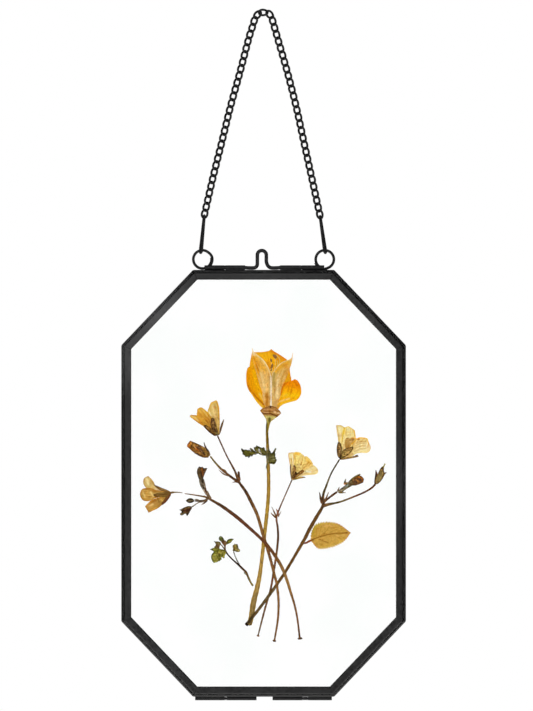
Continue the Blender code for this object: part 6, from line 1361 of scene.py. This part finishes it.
def makeSprays():
    for name, spec, parts in (
            ("upperLeft", upperLeft, [("petals", "Petals", driedPetal, "yellow_petal", "upper_left_flower_petals"),
                                      ("sepals", "Sepals", driedLeaf, "brown_sepal", "upper_left_flower_sepals"),
                                      ("bud", "Bud", driedLeaf, "yellow_petal", "upper_left_bud"),
                                      ("stem", "Stem", driedStalk, "brown_stem", "upper_left_stem")]),
            ("farLeft", farLeft, [("petals", "Petals", driedPetal, "yellow_petal", "far_left_flower_petals"),
                                  ("sepals", "Sepals", mustardSkin, "brown_sepal", "far_left_flower_sepals"),
                                  ("upperBud", "UpperBud", driedLeaf, "brown_sepal", "far_left_upper_bud"),
                                  ("smallBud", "SmallBud", driedLeaf, "brown_sepal", "far_left_small_bud"),
                                  ("lowerBud", "LowerBud", driedLeaf, "brown_sepal", "far_left_lower_bud"),
                                  ("stem", "Stem", driedStalk, "brown_stem", "far_left_stem")]),
            ("middle", middle, [("petals", "Petals", driedPetal, "yellow_petal", "middle_flower_petals"),
                                ("sepals", "Sepals", driedLeaf, "brown_sepal", "middle_flower_sepals"),
                                ("stem", "Stem", driedStalk, "brown_stem", "middle_stem")]),
            ("right", right, [("petals", "Petals", driedPetal, "yellow_petal", "right_flower_petals"),
                              ("sepals", "Sepals", driedLeaf, "brown_sepal", "right_flower_sepals"),
                              ("bud", "Bud", driedLeaf, "brown_sepal", "right_bud"),
                              ("farBud", "FarBud", driedLeaf, "brown_sepal", "far_right_bud"),
                              ("stem", "Stem", driedStalk, "brown_stem", "right_stem")]),
            ("stemLeaf", stemLeaf, [("leaf", "", driedLeaf, "green_leaf", "big_flower_leaf")]),
            ("sprig", sprig, [("bigLeaf", "BigLeaf", driedLeaf, "green_leaf", "sprig_big_leaf"),
                              ("upperLeaves", "UpperLeaves", driedLeaf, "green_leaf", "sprig_upper_leaves"),
                              ("calyx", "Calyx", driedLeaf, "green_leaf", "sprig_calyx"),
                              ("stem", "Stem", driedStalk, "green_leaf", "sprig_stem")])):
        for key, ending, finish, slot, node in parts:
            sprayPiece(spec, key, name + ending, finish, node)


def makeMustardLeaf():
    view, spec = mustardLeaf["view"], mustardLeaf["sheet"]
    sheet = petal(view, {"depth": mustardLeaf["depth"], "seed": 8.0, **spec})
    line, widths, tones = mustardLeaf["petiole"]
    plant("mustardLeaf", [sheet, stalk(view, line, widths, tones, mustardLeaf["depth"], 0.16 * mm)],
          mustardSkin, ["mustard_leaf"])


makeSprays()
makeMustardLeaf()
print("stage: small flowers, buds and leaves")

# The studio: white all round, but a dark room with a few lamps for what the metal and panes reflect
studio = {
    "seen": 1.0, "seenThroughPanes": 1.18, "light": 1.78, "keyFrom": (-0.45, -0.6, 0.66), "keyLift": 0.75,
    "ring": 0.2, "lamp": 1.7, "lampFrom": (-0.26, -0.866, 0.43), "side": 0.01, "back": 0.06, "overhead": 0.5, "floorLevel": -1.4,
}


def makeWorld():
    # Each way that light takes to the camera sees its own room: straight on and through the panes it is
    # white, the plants are lit a little more from the upper left in front, and mirrors see lamps
    world = bpy.data.worlds.new("studio")
    bpy.context.scene.world = world
    world.use_nodes = True
    world.cycles.sampling_method = "NONE"
    tree = Value(world.node_tree)
    direction = place(tree, "Generated")
    parts = tree.node("ShaderNodeSeparateXYZ", {}, {0: direction}).socket.node.outputs
    front, height = -Value(world.node_tree, parts[1]), Value(world.node_tree, parts[2])

    def towards(spot):
        return tree.node("ShaderNodeVectorMath", {"operation": "DOT_PRODUCT"}, {0: direction, 1: unit(np.array(spot))}, "Value")

    def passed(kind):
        return tree.node("ShaderNodeLightPath", {}, {}, f"{kind} Depth").smooth(0.2, 0.8)

    lit = studio["light"] + studio["keyLift"] * towards(studio["keyFrom"]).smooth(-0.2, 1.0) * front.smooth(0.0, 0.5)
    lit = lit * height.smooth(0.35, 1.0, 1.0, studio["overhead"])
    ring = front.smooth(0.8, 0.96) * front.smooth(0.984, 0.992, 1.0, 0.0)
    lamp = towards(studio["lampFrom"]).smooth(0.86, 0.98) * front.smooth(0.984, 0.992, 1.0, 0.0)
    mirrored = (studio["side"] + studio["ring"] * ring * (0.95 + 1.5 * height) + studio["lamp"] * lamp
                + studio["back"] * front.smooth(-0.95, -0.3, 1.0, 0.0))
    seen = passed("Transmission").smooth(0.0, 1.0, studio["seen"], studio["seenThroughPanes"])
    bounced, scattered = passed("Glossy"), passed("Diffuse")
    strength = scattered * lit + (1 - scattered) * (bounced * mirrored + (1 - bounced) * seen)
    background = world.node_tree.nodes["Background"]
    background.inputs["Color"].default_value = (1, 1, 1, 1)
    world.node_tree.links.new(strength.socket, background.inputs["Strength"])


def makeFloor():
    mesh = bpy.data.meshes.new("floor")
    level = studio["floorLevel"]
    mesh.from_pydata([(-3, -2.3, level), (3, -2.3, level), (3, 2.3, level), (-3, 2.3, level)], [], [(0, 1, 2, 3)])
    paper, tree, shader = material("paleFloor", {"Roughness": 0.8})
    feed(shader, {"Base Color": noise(tree, place(tree), 3.0).blend(ink(236, 235, 232), ink(240, 239, 237))})
    mesh.materials.append(paper)
    floor = bpy.data.objects.new("floor", mesh)
    bpy.context.scene.collection.objects.link(floor)


def makeCamera():
    # Straight on, from far away: the picture is 711 steps of the grid high
    lens, sensor, high = 200.0, 36.0, 711
    data = bpy.data.cameras.new("camera")
    data.lens, data.sensor_width, data.clip_end = lens, sensor, 100.0
    camera = bpy.data.objects.new("camera", data)
    x = (533 / 2 - grid["centreColumn"]) * grid["step"]
    z = -(711 / 2 - grid["hangingRow"]) * grid["step"]
    camera.location = (x, -lens * high * grid["step"] / sensor, z)
    camera.rotation_euler = (math.pi / 2, 0, 0)
    bpy.context.scene.collection.objects.link(camera)
    bpy.context.scene.camera = camera


makeWorld()
makeFloor()
makeCamera()
bpy.context.scene.view_settings.view_transform = "Standard"
print("stage: studio and camera")
